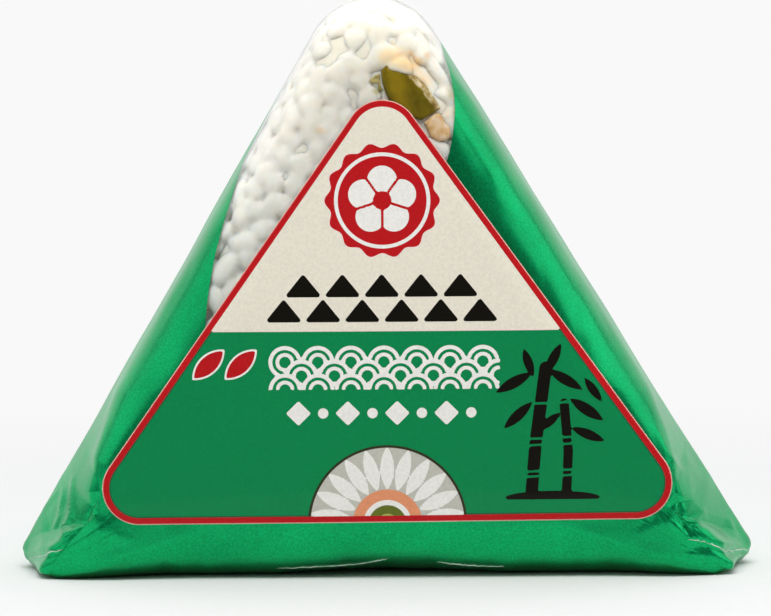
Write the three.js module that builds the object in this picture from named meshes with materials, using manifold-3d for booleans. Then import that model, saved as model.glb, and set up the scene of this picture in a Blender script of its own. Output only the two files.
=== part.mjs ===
// A triangular rice ball sealed in a film pack, standing on its base, in millimetres.
// X runs to the right, Y to the back and Z up. The origin is the middle of the base on the table.
import * as THREE from "three";
import { mergeVertices } from "three/addons/utils/BufferGeometryUtils.js";
import Module from "manifold-3d";

const wasm = await Module();
wasm.setup();

// ---- Pack: a triangle in the XZ plane, given by its sharp corners, with a rounded rim ----
const LEFT_CORNER = new THREE.Vector2(-58.1, 0);
const RIGHT_CORNER = new THREE.Vector2(58.1, 0);
const APEX_CORNER = new THREE.Vector2(-1.8, 98.3);
const TIP_RADIUS = 2.7;
const APEX_RADIUS = 10.8;
const HALF_DEPTH = 16.4;
const FACE_CROWN = 0.9;
const CROWN_REACH = 56;
const FILM_THICKNESS = 0.6;
const GAP = 0.3;

// The rim: the slanted sides and the base roll over softly, and a ridge runs to each tip.
const SIDE_ROLL = 10;
const BASE_ROLL = 9;
const RIDGE_ROLL = 1.4;
const TIP_BASE_ROLL = 2;
const SIDE_CROWN = 0.8;
const TIP_WEDGE = 6;
const TIP_BASE_WEDGE = 0.8;
const RIDGE_LENGTH = 28;
const RIDGE_SHARP_LENGTH = 8;
const RIDGE_FADE = 30;
const BASE_WEDGE_LENGTH = 3;
const BASE_ROLL_FADE = 20;

// Where the film is drawn in past the rice: the faces fall back towards the tips, with a dent by each.
const TIP_FALL = 3.2;
const TIP_FALL_REACH = 17;
const DENTS = [
  { x: -45.4, z: 7.2, halfWidth: 3.4, halfHeight: 2.6, depth: 1.1 },
  { x: 45.7, z: 9.8, halfWidth: 1.9, halfHeight: 5.2, depth: 1.2 },
];

// The base film is drawn up between the two feet of the pack.
const ARCH_X = 0.6;
const ARCH_HALF_WIDTH = 17.5;
const ARCH_HEIGHT = 1.3;
const ARCH_FADE = 9;

// ---- Clear window in the printed film, up the left side and over the apex ----
const WINDOW_LEFT_EDGE = [
  [-25.5, 31.5],
  [-27.4, 37],
  [-25.7, 50],
  [-21.1, 64.4],
];
const WINDOW_RIGHT_EDGE = [
  [8.4, 82],
  [10.2, 76],
  [10.7, 71],
  [9.5, 64],
  [6.5, 60],
  [-1, 64],
  [-8.5, 57],
  [-21, 37.5],
  [-25.5, 31.5],
];
const WINDOW_SIDE_EDGE = [
  [-3, 60.5],
  [-0.9, 66],
  [-0.6, 72],
  [0.3, 77.5],
  [4, 81.5],
  [12, 83.5],
  [20, 84],
];
const WINDOW_OUTSIDE = 42;
const WINDOW_TOP = 104;
const WINDOW_RIGHT = 24;
const CUT_REACH = 30;
const EDGE_STEPS = 5;
const SHORTEST_STEP = 0.05;
const FIN = { x: -4, width: 3.4, height: 1.8, sunk: 0.5 };

// ---- Front label ----
const LABEL_LEFT = new THREE.Vector2(-48.4, 8.6);
const LABEL_RIGHT = new THREE.Vector2(48.7, 9.1);
const LABEL_APEX = new THREE.Vector2(-0.4, 77.2);
const LABEL_RADIUS = 5.6;
const LABEL_THICKNESS = 0.4;

// ---- Lap seam down the back ----
const SEAM_X = 1.5;
const SEAM_WIDTH = 9;
const SEAM_TOP = 73;
const SEAM_FOOT = 6;
const SEAM_STEPS = 10;

// ---- Rice ----
const RICE_INSET = 2.1;
const RICE_TIP_RADIUS = 13;
const RICE_ROLL = 9;
const GRAIN_LENGTH = 5.7;
const GRAIN_WIDTH = 3;
const GRAIN_THICKNESS = 2.7;
const GRAIN_UNEVENNESS = 0.12;
const GRAIN_SPACING = 3.9;
const GRAIN_MARGIN = 1.2;
const GRAIN_SEED = 41;
const GRAIN_COVER = 0.5;

// ---- Toppings pressed against the window ----
const PEPPER = {
  at: [3.1, 74.6],
  outline: [
    [-3.8, 2.2],
    [-2.9, -0.8],
    [2.3, -4.8],
    [4.6, -3.3],
    [1.2, 1.3],
    [-0.6, 2.6],
    [-2.9, 3.9],
  ],
  thickness: 2.8,
};
const PEPPER_SLIVER = {
  at: [-2.2, 75.6],
  outline: [
    [-0.7, -1.2],
    [0.6, -0.9],
    [0.5, 1.2],
    [-1.1, 1],
  ],
  thickness: 1.6,
};
const SALMON = {
  at: [7.4, 67.9],
  outline: [
    [-1.8, -0.1],
    [-1, -1.7],
    [1.2, -1.9],
    [1.9, 0.1],
    [1, 1.9],
    [-1.2, 1.3],
  ],
  thickness: 2.4,
};
const TOPPING_COVER = 1.1;
const TOPPING_STEPS = 3;
const TOPPING_ROUNDING = 0.35;

// ---- Mesh fineness ----
const WELD = 1e-4;
const PACK_STEPS = { side: 18, tip: 6, apex: 10, panel: 3, roll: 5, face: 3 };
const LINING_STEPS = { side: 11, tip: 4, apex: 8, panel: 2, roll: 4, face: 2 };
const RICE_STEPS = { side: 10, tip: 4, apex: 6, panel: 1, roll: 3, face: 2 };
const SCATTER_STEPS = { side: 60, tip: 8, apex: 26, panel: 14, roll: 14, face: 16 };
const LABEL_STEPS = { side: 12, corner: 5 };
const LABEL_RINGS = [0.4, 0.7, 0.87, 1];

const clamp01 = (value) => Math.min(1, Math.max(0, value));
const smooth = (value) => clamp01(value) ** 2 * (3 - 2 * clamp01(value));
const mix = THREE.MathUtils.lerp;

function seededRandom(seed) {
  let state = seed;
  return () => {
    state = (state * 1664525 + 1013904223) % 4294967296;
    return state / 4294967296;
  };
}

// ---- Triangles with rounded corners ----

function incircle(corners) {
  const lengths = corners.map((_, i) => corners[(i + 1) % 3].distanceTo(corners[(i + 2) % 3]));
  const around = lengths.reduce((sum, length) => sum + length, 0);
  const centre = new THREE.Vector2();
  corners.forEach((corner, i) => centre.addScaledVector(corner, lengths[i] / around));
  const [a, b, c] = corners;
  const doubleArea = Math.abs((b.x - a.x) * (c.y - a.y) - (c.x - a.x) * (b.y - a.y));
  return { centre, radius: doubleArea / around };
}

// Points around a triangle, anticlockwise; each knows its side and its distance from that side's corner.
function roundedTriangle(corners, radii, sideSteps, cornerSteps) {
  const rounds = corners.map((corner, i) => {
    const toLast = corners[(i + 2) % 3].clone().sub(corner).normalize();
    const toNext = corners[(i + 1) % 3].clone().sub(corner).normalize();
    const half = Math.acos(toLast.dot(toNext)) / 2;
    const inward = toLast.clone().add(toNext).normalize();
    const centre = corner.clone().addScaledVector(inward, radii[i] / Math.sin(half));
    const tangent = radii[i] / Math.tan(half);
    const from = corner.clone().addScaledVector(toLast, tangent);
    const to = corner.clone().addScaledVector(toNext, tangent);
    return { centre, from, to, turn: Math.PI - 2 * half };
  });
  const points = [];
  rounds.forEach((round, i) => {
    const start = round.from.clone().sub(round.centre);
    for (let step = 0; step < cornerSteps[i]; step++) {
      const angle = (round.turn * step) / cornerSteps[i];
      const place = start.clone().rotateAround(new THREE.Vector2(), angle).add(round.centre);
      points.push({ place, corner: i, side: null, along: 0 });
    }
    const next = rounds[(i + 1) % 3];
    const length = round.to.distanceTo(next.from);
    for (let step = 0; step < sideSteps; step++) {
      const place = round.to.clone().lerp(next.from, step / sideSteps);
      const along = (length * step) / sideSteps;
      points.push({ place, corner: null, side: i, along, left: length - along });
    }
  });
  return points;
}

// ---- The pack's skin ----

const PACK_CORNERS = [LEFT_CORNER, RIGHT_CORNER, APEX_CORNER];
const PACK_CIRCLE = incircle(PACK_CORNERS);
const BASE_SIDE = 0;
const APEX = 2;
const TIP_ARC_HEIGHT = 1.5 * TIP_RADIUS;

// How far the rim stands out from the faces' edge (wedge), and how softly it turns into them (roll).
// Round a tip, turned goes from 0 on the base to 1 on the slanted side.
function packRim(side, fromTip, turned) {
  if (side === BASE_SIDE)
    return {
      wedge: TIP_BASE_WEDGE * (1 - clamp01(fromTip / BASE_WEDGE_LENGTH)),
      roll: mix(TIP_BASE_ROLL, BASE_ROLL, smooth(fromTip / BASE_ROLL_FADE)),
    };
  const tipWedge = mix(TIP_BASE_WEDGE, TIP_WEDGE, turned);
  return {
    wedge: mix(tipWedge, SIDE_CROWN, clamp01(fromTip / RIDGE_LENGTH)),
    roll: mix(RIDGE_ROLL, SIDE_ROLL, smooth((fromTip - RIDGE_SHARP_LENGTH) / RIDGE_FADE)),
  };
}

function riceRim() {
  return { wedge: SIDE_CROWN, roll: RICE_ROLL };
}

// How far round a tip a place on the rim is, from 0 on the base to 1 on the slanted side.
function tipTurn(point) {
  const onTip = point.corner !== null && point.corner !== APEX;
  return onTip ? clamp01(point.place.y / TIP_ARC_HEIGHT) : 1;
}

function tipDistance(point) {
  if (point.corner === APEX) return Infinity;
  if (point.corner !== null) return 0;
  if (point.side === BASE_SIDE) return Math.min(point.along, point.left);
  return point.side === 1 ? point.along : point.left;
}

// Half the pack's depth at a place on its front or back face, without the dents.
function evenDepth(x, z) {
  const { centre } = PACK_CIRCLE;
  const spread = Math.hypot(x - centre.x, z - centre.y) / CROWN_REACH;
  let depth = HALF_DEPTH + FACE_CROWN * (1 - smooth(spread));
  for (const tip of [LEFT_CORNER, RIGHT_CORNER]) {
    const distance = Math.hypot(x - tip.x, z - tip.y - TIP_RADIUS);
    depth -= TIP_FALL * smooth(1 - distance / TIP_FALL_REACH);
  }
  return depth;
}

function dentDepth(x, z) {
  return DENTS.reduce((sum, dent) => {
    const away = Math.hypot((x - dent.x) / dent.halfWidth, (z - dent.z) / dent.halfHeight);
    return sum + dent.depth * smooth(1 - away / 2);
  }, 0);
}

function archLift(x, z, share) {
  const across = clamp01(1 - ((x - ARCH_X) / ARCH_HALF_WIDTH) ** 2);
  return ARCH_HEIGHT * across * share * clamp01(1 - z / ARCH_FADE);
}

// One place on a skin: step 0 is the rim's middle, 1 the roll's start, 2 its end and 3 the face's middle.
function skinPoint(shape, edge, step, facing) {
  const share = edge.roll / HALF_DEPTH;
  const reach = PACK_CIRCLE.radius - shape.inset;
  let inset = edge.wedge * (1 - share) * step;
  let outward = (1 - share) * step;
  if (step > 2) {
    inset = mix(edge.wedge + edge.roll, reach, step - 2);
    outward = 1;
  } else if (step > 1) {
    const turned = step - 1;
    inset = edge.wedge * (1 - share * (1 - turned) ** 2) + edge.roll * turned ** 2;
    outward = 1 - share * (1 - turned) ** 2;
  }
  const flat = edge.place.clone().lerp(PACK_CIRCLE.centre, inset / reach);
  const depth = evenDepth(flat.x, flat.y) - dentDepth(flat.x, flat.y) - shape.inset;
  const y = facing * outward * depth;
  return new THREE.Vector3(flat.x, y, flat.y + archLift(flat.x, flat.y, outward));
}

// The rows of a closed skin, from the middle of the front to the middle of the back.
function skinRows({ shape, steps }) {
  const scale = 1 - shape.inset / PACK_CIRCLE.radius;
  const corners = PACK_CORNERS.map((corner) =>
    PACK_CIRCLE.centre.clone().lerp(corner, scale),
  );
  const radii = [shape.tipRadius, shape.tipRadius, APEX_RADIUS - shape.inset];
  const outline = roundedTriangle(corners, radii, steps.side, [steps.tip, steps.tip, steps.apex]);
  const edges = outline.map((point) => {
    const rim = shape.rim(point.side, tipDistance(point), tipTurn(point));
    return { place: point.place, ...rim };
  });
  const half = [];
  for (let i = 1; i < steps.face; i++) half.push(2 + (steps.face - i) / steps.face);
  for (let i = 0; i < steps.roll; i++) half.push(2 - i / steps.roll);
  for (let i = 0; i < steps.panel; i++) half.push(1 - i / steps.panel);
  const front = half.map((step) => ({ step, facing: -1 }));
  const back = half.map((step) => ({ step, facing: 1 })).reverse();
  const sections = [...front, { step: 0, facing: 1 }, ...back];
  return sections.map(({ step, facing }) =>
    edges.map((edge) => skinPoint(shape, edge, step, facing)),
  );
}

// A closed mesh over rings of points, with a fan to a pole at each end.
function ringMesh(rows, firstPole, lastPole) {
  const count = rows[0].length;
  const points = [firstPole, ...rows.flat(), lastPole];
  const last = points.length - 1;
  const at = (row, i) => 1 + row * count + (i % count);
  const faces = [];
  for (let i = 0; i < count; i++) {
    faces.push(0, at(0, i), at(0, i + 1));
    for (let row = 0; row + 1 < rows.length; row++) {
      faces.push(at(row, i), at(row + 1, i), at(row + 1, i + 1));
      faces.push(at(row, i), at(row + 1, i + 1), at(row, i + 1));
    }
    faces.push(last, at(rows.length - 1, i + 1), at(rows.length - 1, i));
  }
  const geometry = new THREE.BufferGeometry().setFromPoints(points);
  return geometry.setIndex(faces);
}

function skinSolid(shape, steps) {
  const rows = skinRows({ shape, steps });
  const { centre } = PACK_CIRCLE;
  const depth = evenDepth(centre.x, centre.y) - shape.inset;
  const front = new THREE.Vector3(centre.x, -depth, centre.y);
  const back = new THREE.Vector3(centre.x, depth, centre.y);
  return solidOf(ringMesh(rows, front, back));
}

// ---- Solids and meshes ----

function solidOf(geometry) {
  const bare = new THREE.BufferGeometry();
  bare.setAttribute("position", geometry.getAttribute("position"));
  if (geometry.index) bare.setIndex(geometry.index);
  const merged = mergeVertices(bare, WELD);
  return new wasm.Manifold(
    new wasm.Mesh({
      numProp: 3,
      vertProperties: merged.getAttribute("position").array,
      triVerts: new Uint32Array(merged.index.array),
    }),
  );
}

function meshOf(name, solid, material) {
  const { vertProperties, triVerts } = solid.getMesh();
  const geometry = new THREE.BufferGeometry();
  geometry.setAttribute("position", new THREE.BufferAttribute(vertProperties, 3));
  geometry.setIndex(new THREE.BufferAttribute(triVerts, 1));
  geometry.computeVertexNormals();
  const mesh = new THREE.Mesh(geometry, material);
  mesh.name = name;
  return mesh;
}

// The largest body of a solid, without the hollows sealed inside it.
function largestBody(solid) {
  return solid.decompose().reduce((a, b) => (b.volume() > a.volume() ? b : a));
}

// ---- Window ----

function windowOutline() {
  const shape = new THREE.Shape();
  const toPoints = (edge) => edge.map(([x, z]) => new THREE.Vector2(x, z));
  const [first, ...leftRest] = toPoints(WINDOW_LEFT_EDGE);
  const [rightStart, ...rightRest] = toPoints(WINDOW_RIGHT_EDGE);
  shape.moveTo(first.x, first.y);
  shape.splineThru(leftRest);
  shape.lineTo(-WINDOW_OUTSIDE, leftRest.at(-1).y);
  shape.lineTo(-WINDOW_OUTSIDE, WINDOW_TOP);
  shape.lineTo(WINDOW_RIGHT, WINDOW_TOP);
  shape.lineTo(WINDOW_RIGHT, rightStart.y);
  shape.lineTo(rightStart.x, rightStart.y);
  shape.splineThru(rightRest);
  return withoutRepeats(shape.getPoints(EDGE_STEPS));
}

// The window from the side: all of the front, and less and less of the back towards its lower edge.
function windowSideOutline() {
  const shape = new THREE.Shape();
  const [first, ...rest] = WINDOW_SIDE_EDGE.map(([y, z]) => new THREE.Vector2(y, z));
  shape.moveTo(-CUT_REACH, 0);
  shape.lineTo(first.x, 0);
  shape.lineTo(first.x, first.y);
  shape.splineThru(rest);
  shape.lineTo(CUT_REACH, rest.at(-1).y);
  shape.lineTo(CUT_REACH, WINDOW_TOP);
  shape.lineTo(-CUT_REACH, WINDOW_TOP);
  return withoutRepeats(shape.getPoints(EDGE_STEPS));
}

function withoutRepeats(points) {
  return points.filter((point, i) => {
    const next = points[(i + 1) % points.length];
    return point.distanceTo(next) > SHORTEST_STEP;
  });
}

// An outline moved outwards by a distance, for an anticlockwise or clockwise ring of points.
function grownOutline(points, distance) {
  const sense = THREE.ShapeUtils.area(points) > 0 ? 1 : -1;
  return points.map((point, i) => {
    const last = points.at(i - 1);
    const next = points[(i + 1) % points.length];
    const into = point.clone().sub(last).normalize();
    const out = next.clone().sub(point).normalize();
    const normal = new THREE.Vector2(into.y + out.y, -into.x - out.x).normalize();
    return point.clone().addScaledVector(normal, sense * distance);
  });
}

// A prism through the whole pack, lying along Y until it is turned.
function prism(points, reach) {
  const geometry = new THREE.ExtrudeGeometry(new THREE.Shape(points), {
    depth: 2 * reach,
    bevelEnabled: false,
  });
  geometry.translate(0, 0, -reach);
  geometry.rotateX(Math.PI / 2);
  return geometry;
}

function windowCutter(grow) {
  const fromFront = prism(grownOutline(windowOutline(), grow), CUT_REACH);
  const fromSide = prism(grownOutline(windowSideOutline(), grow), 2 * WINDOW_OUTSIDE);
  fromSide.rotateZ(Math.PI / 2);
  return solidOf(fromFront).intersect(solidOf(fromSide));
}

function insideOutline(points, x, z) {
  let inside = false;
  points.forEach((a, i) => {
    const b = points.at(i - 1);
    const crosses = a.y > z !== b.y > z && x < ((b.x - a.x) * (z - a.y)) / (b.y - a.y) + a.x;
    if (crosses) inside = !inside;
  });
  return inside;
}

// ---- Places on the front and back faces ----

// The skin's depth, without dents, at a place inside the pack's outline and past the wedge of the rim.
function surfaceDepth(x, z) {
  const place = new THREE.Vector2(x, z);
  const sides = PACK_CORNERS.map((from, i) => {
    const to = PACK_CORNERS[(i + 1) % 3];
    const along = to.clone().sub(from).normalize();
    const inset = along.cross(place.clone().sub(from));
    return { i, from, to, inset };
  });
  const nearest = sides.reduce((a, b) => (b.inset < a.inset ? b : a));
  const scale = 1 - nearest.inset / PACK_CIRCLE.radius;
  const onRim = place.clone().sub(PACK_CIRCLE.centre).divideScalar(Math.max(scale, 0.05));
  onRim.add(PACK_CIRCLE.centre);
  const tangent = TIP_RADIUS / Math.tan(Math.PI / 6);
  const fromStart = onRim.distanceTo(nearest.from) - tangent;
  const fromEnd = onRim.distanceTo(nearest.to) - tangent;
  const fromTip = [Math.min(fromStart, fromEnd), fromStart, fromEnd][nearest.i];
  const { wedge, roll } = packRim(nearest.i, Math.max(0, fromTip), 1);
  const turned = Math.sqrt(clamp01((nearest.inset - wedge) / roll));
  return evenDepth(x, z) * (1 - (roll / HALF_DEPTH) * (1 - turned) ** 2);
}

// ---- Film ----

function packShape(inset) {
  return { inset, tipRadius: TIP_RADIUS - inset, rim: packRim };
}

function filmShell() {
  const outside = skinSolid(packShape(0), PACK_STEPS);
  const inside = skinSolid(packShape(FILM_THICKNESS), LINING_STEPS);
  return outside.subtract(inside);
}

function filmFin() {
  const top = PACK_CORNERS[APEX].y - apexShortfall();
  const geometry = new THREE.BoxGeometry(FIN.width, FILM_THICKNESS, FIN.height + FIN.sunk);
  geometry.translate(FIN.x, 0, top + (FIN.height - FIN.sunk) / 2 - finDrop());
  return solidOf(geometry);
}

// How far the rounded apex lies under the sharp corner.
function apexShortfall() {
  const left = LEFT_CORNER.clone().sub(APEX_CORNER).normalize();
  const right = RIGHT_CORNER.clone().sub(APEX_CORNER).normalize();
  const half = Math.acos(left.dot(right)) / 2;
  return APEX_RADIUS / Math.sin(half) - APEX_RADIUS;
}

// How far the apex has curved down where the fin stands, beside its middle.
function finDrop() {
  const across = Math.abs(FIN.x - APEX_CORNER.x) + FIN.width / 2;
  return APEX_RADIUS - Math.sqrt(APEX_RADIUS ** 2 - across ** 2);
}

// ---- Label and seam ----

// A plate over or under the front skin, from its outer to its inner height above the skin.
function drapedPlate(outline, centre, rings, outer, inner) {
  const lift = (place, height) =>
    new THREE.Vector3(place.x, -surfaceDepth(place.x, place.y) - height, place.y);
  const ring = (share, height) =>
    outline.map((place) => lift(centre.clone().lerp(place, share), height));
  const outerRows = rings.map((share) => ring(share, outer));
  const innerRows = rings.map((share) => ring(share, inner)).reverse();
  return solidOf(ringMesh([...outerRows, ...innerRows], lift(centre, outer), lift(centre, inner)));
}

function labelSolid() {
  const corners = [LABEL_LEFT, LABEL_RIGHT, LABEL_APEX];
  const radii = [LABEL_RADIUS, LABEL_RADIUS, LABEL_RADIUS];
  const { side, corner } = LABEL_STEPS;
  const outline = roundedTriangle(corners, radii, side, [corner, corner, corner]);
  const places = outline.map(({ place }) => place);
  return drapedPlate(places, incircle(corners).centre, LABEL_RINGS, GAP + LABEL_THICKNESS, GAP);
}

// A strip that follows the back face, one ring of four points for each step of its height.
function seamSolid() {
  const rows = [];
  const sides = [SEAM_X - SEAM_WIDTH / 2, SEAM_X + SEAM_WIDTH / 2];
  for (let i = 0; i <= SEAM_STEPS; i++) {
    const z = mix(SEAM_TOP, SEAM_FOOT, i / SEAM_STEPS);
    const [left, right] = sides.map((x) => ({ x, y: surfaceDepth(x, z) }));
    rows.push([
      new THREE.Vector3(left.x, left.y + GAP, z),
      new THREE.Vector3(right.x, right.y + GAP, z),
      new THREE.Vector3(right.x, right.y + GAP + LABEL_THICKNESS, z),
      new THREE.Vector3(left.x, left.y + GAP + LABEL_THICKNESS, z),
    ]);
  }
  const middle = (row) => row.reduce((sum, p) => sum.addScaledVector(p, 0.25), new THREE.Vector3());
  return solidOf(ringMesh(rows, middle(rows[0]), middle(rows.at(-1))));
}

// ---- Rice and toppings ----

function riceShape() {
  return { inset: RICE_INSET, tipRadius: RICE_TIP_RADIUS, rim: riceRim };
}

// Places and outward normals all over the rice, from a fine version of its skin.
function scatterPlaces() {
  const rows = skinRows({ shape: riceShape(), steps: SCATTER_STEPS });
  const places = [];
  for (let row = 1; row + 1 < rows.length; row++) {
    rows[row].forEach((point, i) => {
      const along = rows[row].at((i + 1) % rows[row].length).clone().sub(rows[row].at(i - 1));
      const down = rows[row + 1][i].clone().sub(rows[row - 1][i]);
      places.push({ point, normal: down.cross(along).normalize() });
    });
  }
  return places;
}

function shuffled(list, random) {
  const order = [...list];
  for (let i = order.length - 1; i > 0; i--) {
    const j = Math.floor(random() * (i + 1));
    [order[i], order[j]] = [order[j], order[i]];
  }
  return order;
}

function showsInWindow(point) {
  const fromFront = grownOutline(windowOutline(), GRAIN_MARGIN);
  const fromSide = grownOutline(windowSideOutline(), GRAIN_MARGIN);
  return insideOutline(fromFront, point.x, point.z) && insideOutline(fromSide, point.y, point.z);
}

function grainSolid(place, random) {
  const size = () => 1 + GRAIN_UNEVENNESS * (2 * random() - 1);
  const geometry = new THREE.SphereGeometry(0.5, 6, 3);
  geometry.scale(GRAIN_WIDTH * size(), GRAIN_LENGTH * size(), GRAIN_THICKNESS);
  geometry.rotateZ(Math.PI * random());
  const facing = new THREE.Quaternion().setFromUnitVectors(
    new THREE.Vector3(0, 0, 1),
    place.normal,
  );
  geometry.applyQuaternion(facing);
  const proud = RICE_INSET - FILM_THICKNESS - GRAIN_COVER - GRAIN_THICKNESS / 2;
  const centre = place.point.clone().addScaledVector(place.normal, proud);
  geometry.translate(centre.x, centre.y, centre.z);
  return solidOf(geometry);
}

function grainPlaces(random) {
  const chosen = [];
  for (const place of shuffled(scatterPlaces(), random)) {
    const crowded = chosen.some((other) => other.point.distanceTo(place.point) < GRAIN_SPACING);
    if (!crowded && showsInWindow(place.point)) chosen.push(place);
  }
  return chosen;
}

// A chunk pressed flat against the inside of the film, its sides drawn in a little at both faces.
function toppingSolid(topping, grow) {
  const centre = new THREE.Vector2(...topping.at);
  const corners = topping.outline.map(([x, z]) => new THREE.Vector2(x, z).add(centre));
  const loop = [...corners, corners[0]];
  const outline = grownOutline(
    loop.slice(1).flatMap((corner, i) => {
      const start = loop[i];
      return Array.from({ length: TOPPING_STEPS }, (_, step) =>
        start.clone().lerp(corner, step / TOPPING_STEPS),
      );
    }),
    grow,
  );
  const top = -FILM_THICKNESS - TOPPING_COVER + grow;
  const foot = top - topping.thickness - 2 * grow;
  const face = grownOutline(outline, -TOPPING_ROUNDING);
  const lift = (place, height) =>
    new THREE.Vector3(place.x, -surfaceDepth(place.x, place.y) - height, place.y);
  const rows = [
    face.map((place) => lift(place, top)),
    outline.map((place) => lift(place, top - TOPPING_ROUNDING)),
    outline.map((place) => lift(place, foot + TOPPING_ROUNDING)),
    face.map((place) => lift(place, foot)),
  ];
  return solidOf(ringMesh(rows, lift(centre, top), lift(centre, foot)));
}

function riceSolid(toppings) {
  const random = seededRandom(GRAIN_SEED);
  const pockets = toppings.map((topping) => toppingSolid(topping, GAP));
  let rice = skinSolid(riceShape(), RICE_STEPS);
  for (const pocket of pockets) rice = rice.subtract(pocket);
  for (const place of grainPlaces(random)) {
    const grain = grainSolid(place, random);
    const blocked = pockets.some((pocket) => !pocket.intersect(grain).isEmpty());
    if (!blocked) rice = rice.add(grain);
  }
  return largestBody(rice);
}

// ---- The pack, put together ----

const printedFilm = new THREE.MeshStandardMaterial({
  color: 0x0a7a3c,
  roughness: 0.32,
  metalness: 0.55,
});
const clearFilm = new THREE.MeshStandardMaterial({
  color: 0xf2f5f3,
  roughness: 0.08,
  metalness: 0,
  transparent: true,
  opacity: 0.3,
});
const labelPaper = new THREE.MeshStandardMaterial({
  color: 0xe8e0d2,
  roughness: 0.35,
  metalness: 0,
});
const cookedRice = new THREE.MeshStandardMaterial({
  color: 0xefece4,
  roughness: 0.4,
  metalness: 0,
});
const greenPepper = new THREE.MeshStandardMaterial({
  color: 0x66701a,
  roughness: 0.35,
  metalness: 0,
});
const salmon = new THREE.MeshStandardMaterial({
  color: 0xe8a585,
  roughness: 0.5,
  metalness: 0,
});

const shell = filmShell();
const toppings = [PEPPER, PEPPER_SLIVER, SALMON];

const pack = new THREE.Group();
pack.add(meshOf("wrapper", shell.subtract(windowCutter(GAP)), printedFilm));
pack.add(meshOf("window_film", shell.intersect(windowCutter(0)).add(filmFin()), clearFilm));
pack.add(meshOf("label", labelSolid(), labelPaper));
pack.add(meshOf("back_seam", seamSolid(), printedFilm));
pack.add(meshOf("rice", riceSolid(toppings), cookedRice));
pack.add(meshOf("pepper_piece", toppingSolid(PEPPER, 0), greenPepper));
pack.add(meshOf("pepper_sliver", toppingSolid(PEPPER_SLIVER, 0), greenPepper));
pack.add(meshOf("salmon_flake", toppingSolid(SALMON, 0), salmon));

export default pack;
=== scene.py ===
"""A triangular rice ball sealed in a printed film pack: thin film, real grains and a printed label over its solids.

Lengths in this file are millimetres unless a name ends in _m. X runs to the right, Y to the back and Z up.
"""

import math

import bpy
import numpy as np
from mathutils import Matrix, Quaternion, Vector
from mathutils.geometry import delaunay_2d_cdt


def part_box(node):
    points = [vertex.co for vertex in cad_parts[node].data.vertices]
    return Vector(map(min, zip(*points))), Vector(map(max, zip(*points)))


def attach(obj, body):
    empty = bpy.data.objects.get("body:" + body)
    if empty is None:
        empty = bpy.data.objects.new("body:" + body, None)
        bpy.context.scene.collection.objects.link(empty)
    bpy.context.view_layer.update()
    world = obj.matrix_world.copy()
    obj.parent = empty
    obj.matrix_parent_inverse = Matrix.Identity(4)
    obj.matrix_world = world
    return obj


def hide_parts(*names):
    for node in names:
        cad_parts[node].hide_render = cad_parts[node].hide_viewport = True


bl_info = {
    "name": "Packed rice ball",
    "version": (1, 0, 0),
    "blender": (4, 5, 0),
    "location": "View3D > Sidebar > Rice ball",
    "description": "Dresses the solids of a packed rice ball with film, grains, fillings and a label",
    "category": "Add Mesh",
}

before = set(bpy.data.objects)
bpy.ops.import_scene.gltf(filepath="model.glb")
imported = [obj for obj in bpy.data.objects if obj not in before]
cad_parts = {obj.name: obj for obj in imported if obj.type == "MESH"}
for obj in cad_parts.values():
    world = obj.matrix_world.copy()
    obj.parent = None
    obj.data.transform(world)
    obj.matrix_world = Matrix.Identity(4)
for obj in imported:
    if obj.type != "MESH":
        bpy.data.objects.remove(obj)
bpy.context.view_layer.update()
MM = 0.001
CUT_CLEARANCE = 0.004
SAME_PLACE = 1e-12
OUTSIDE = -5.0

# ---- The pack's form ----
CORNERS = np.array([(-58.1, 0.0), (58.1, 0.0), (-1.8, 98.3)])
TIP_RADIUS = 2.7
APEX_RADIUS = 10.8
HALF_DEPTH = 16.4
FACE_CROWN = 0.9
CROWN_REACH = 56.0
SIDE_ROLL = 10.0
BASE_ROLL = 9.0
RIDGE_ROLL = 1.4
TIP_BASE_ROLL = 2.0
SIDE_CROWN = 0.8
TIP_WEDGE = 6.0
TIP_BASE_WEDGE = 0.8
RIDGE_LENGTH = 28.0
RIDGE_SHARP_LENGTH = 8.0
RIDGE_FADE = 30.0
BASE_WEDGE_LENGTH = 3.0
BASE_ROLL_FADE = 20.0
TIP_FALL = 3.2
TIP_FALL_REACH = 17.0
ARCH_X = 0.6
ARCH_HALF_WIDTH = 17.5
ARCH_HEIGHT = 1.3
ARCH_FADE = 9.0

# ---- Clear window ----
WINDOW_LEFT_EDGE = [(-25.5, 31.5), (-27.4, 37), (-25.7, 50), (-21.1, 64.4)]
WINDOW_RIGHT_EDGE = [
    (8.4, 82), (10.2, 76), (10.7, 71), (9.5, 64), (6.5, 60), (-1, 64), (-8.5, 57), (-21, 37.5), (-25.5, 31.5),
]
WINDOW_SIDE_EDGE = [
    (-9, 60.5), (-6.5, 64.4), (-4, 67.5), (-2, 71), (0, 75), (3, 79.5), (7, 82.2), (12, 83.5), (20, 84),
]
WINDOW_OUTSIDE = 42
WINDOW_TOP = 104
WINDOW_RIGHT = 24
CUT_REACH = 30
EDGE_STEPS = 8

# ---- Label ----
LABEL_CORNERS = np.array([(-48.4, 8.6), (48.7, 9.1), (-0.4, 77.2)])
LABEL_RADIUS = 5.6


# ---- Small helpers ----


def clamp01(value):
    return np.clip(value, 0.0, 1.0)


def smooth(value):
    part = clamp01(value)
    return part * part * (3 - 2 * part)


def mix(low, high, share):
    return low + (high - low) * share


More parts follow.
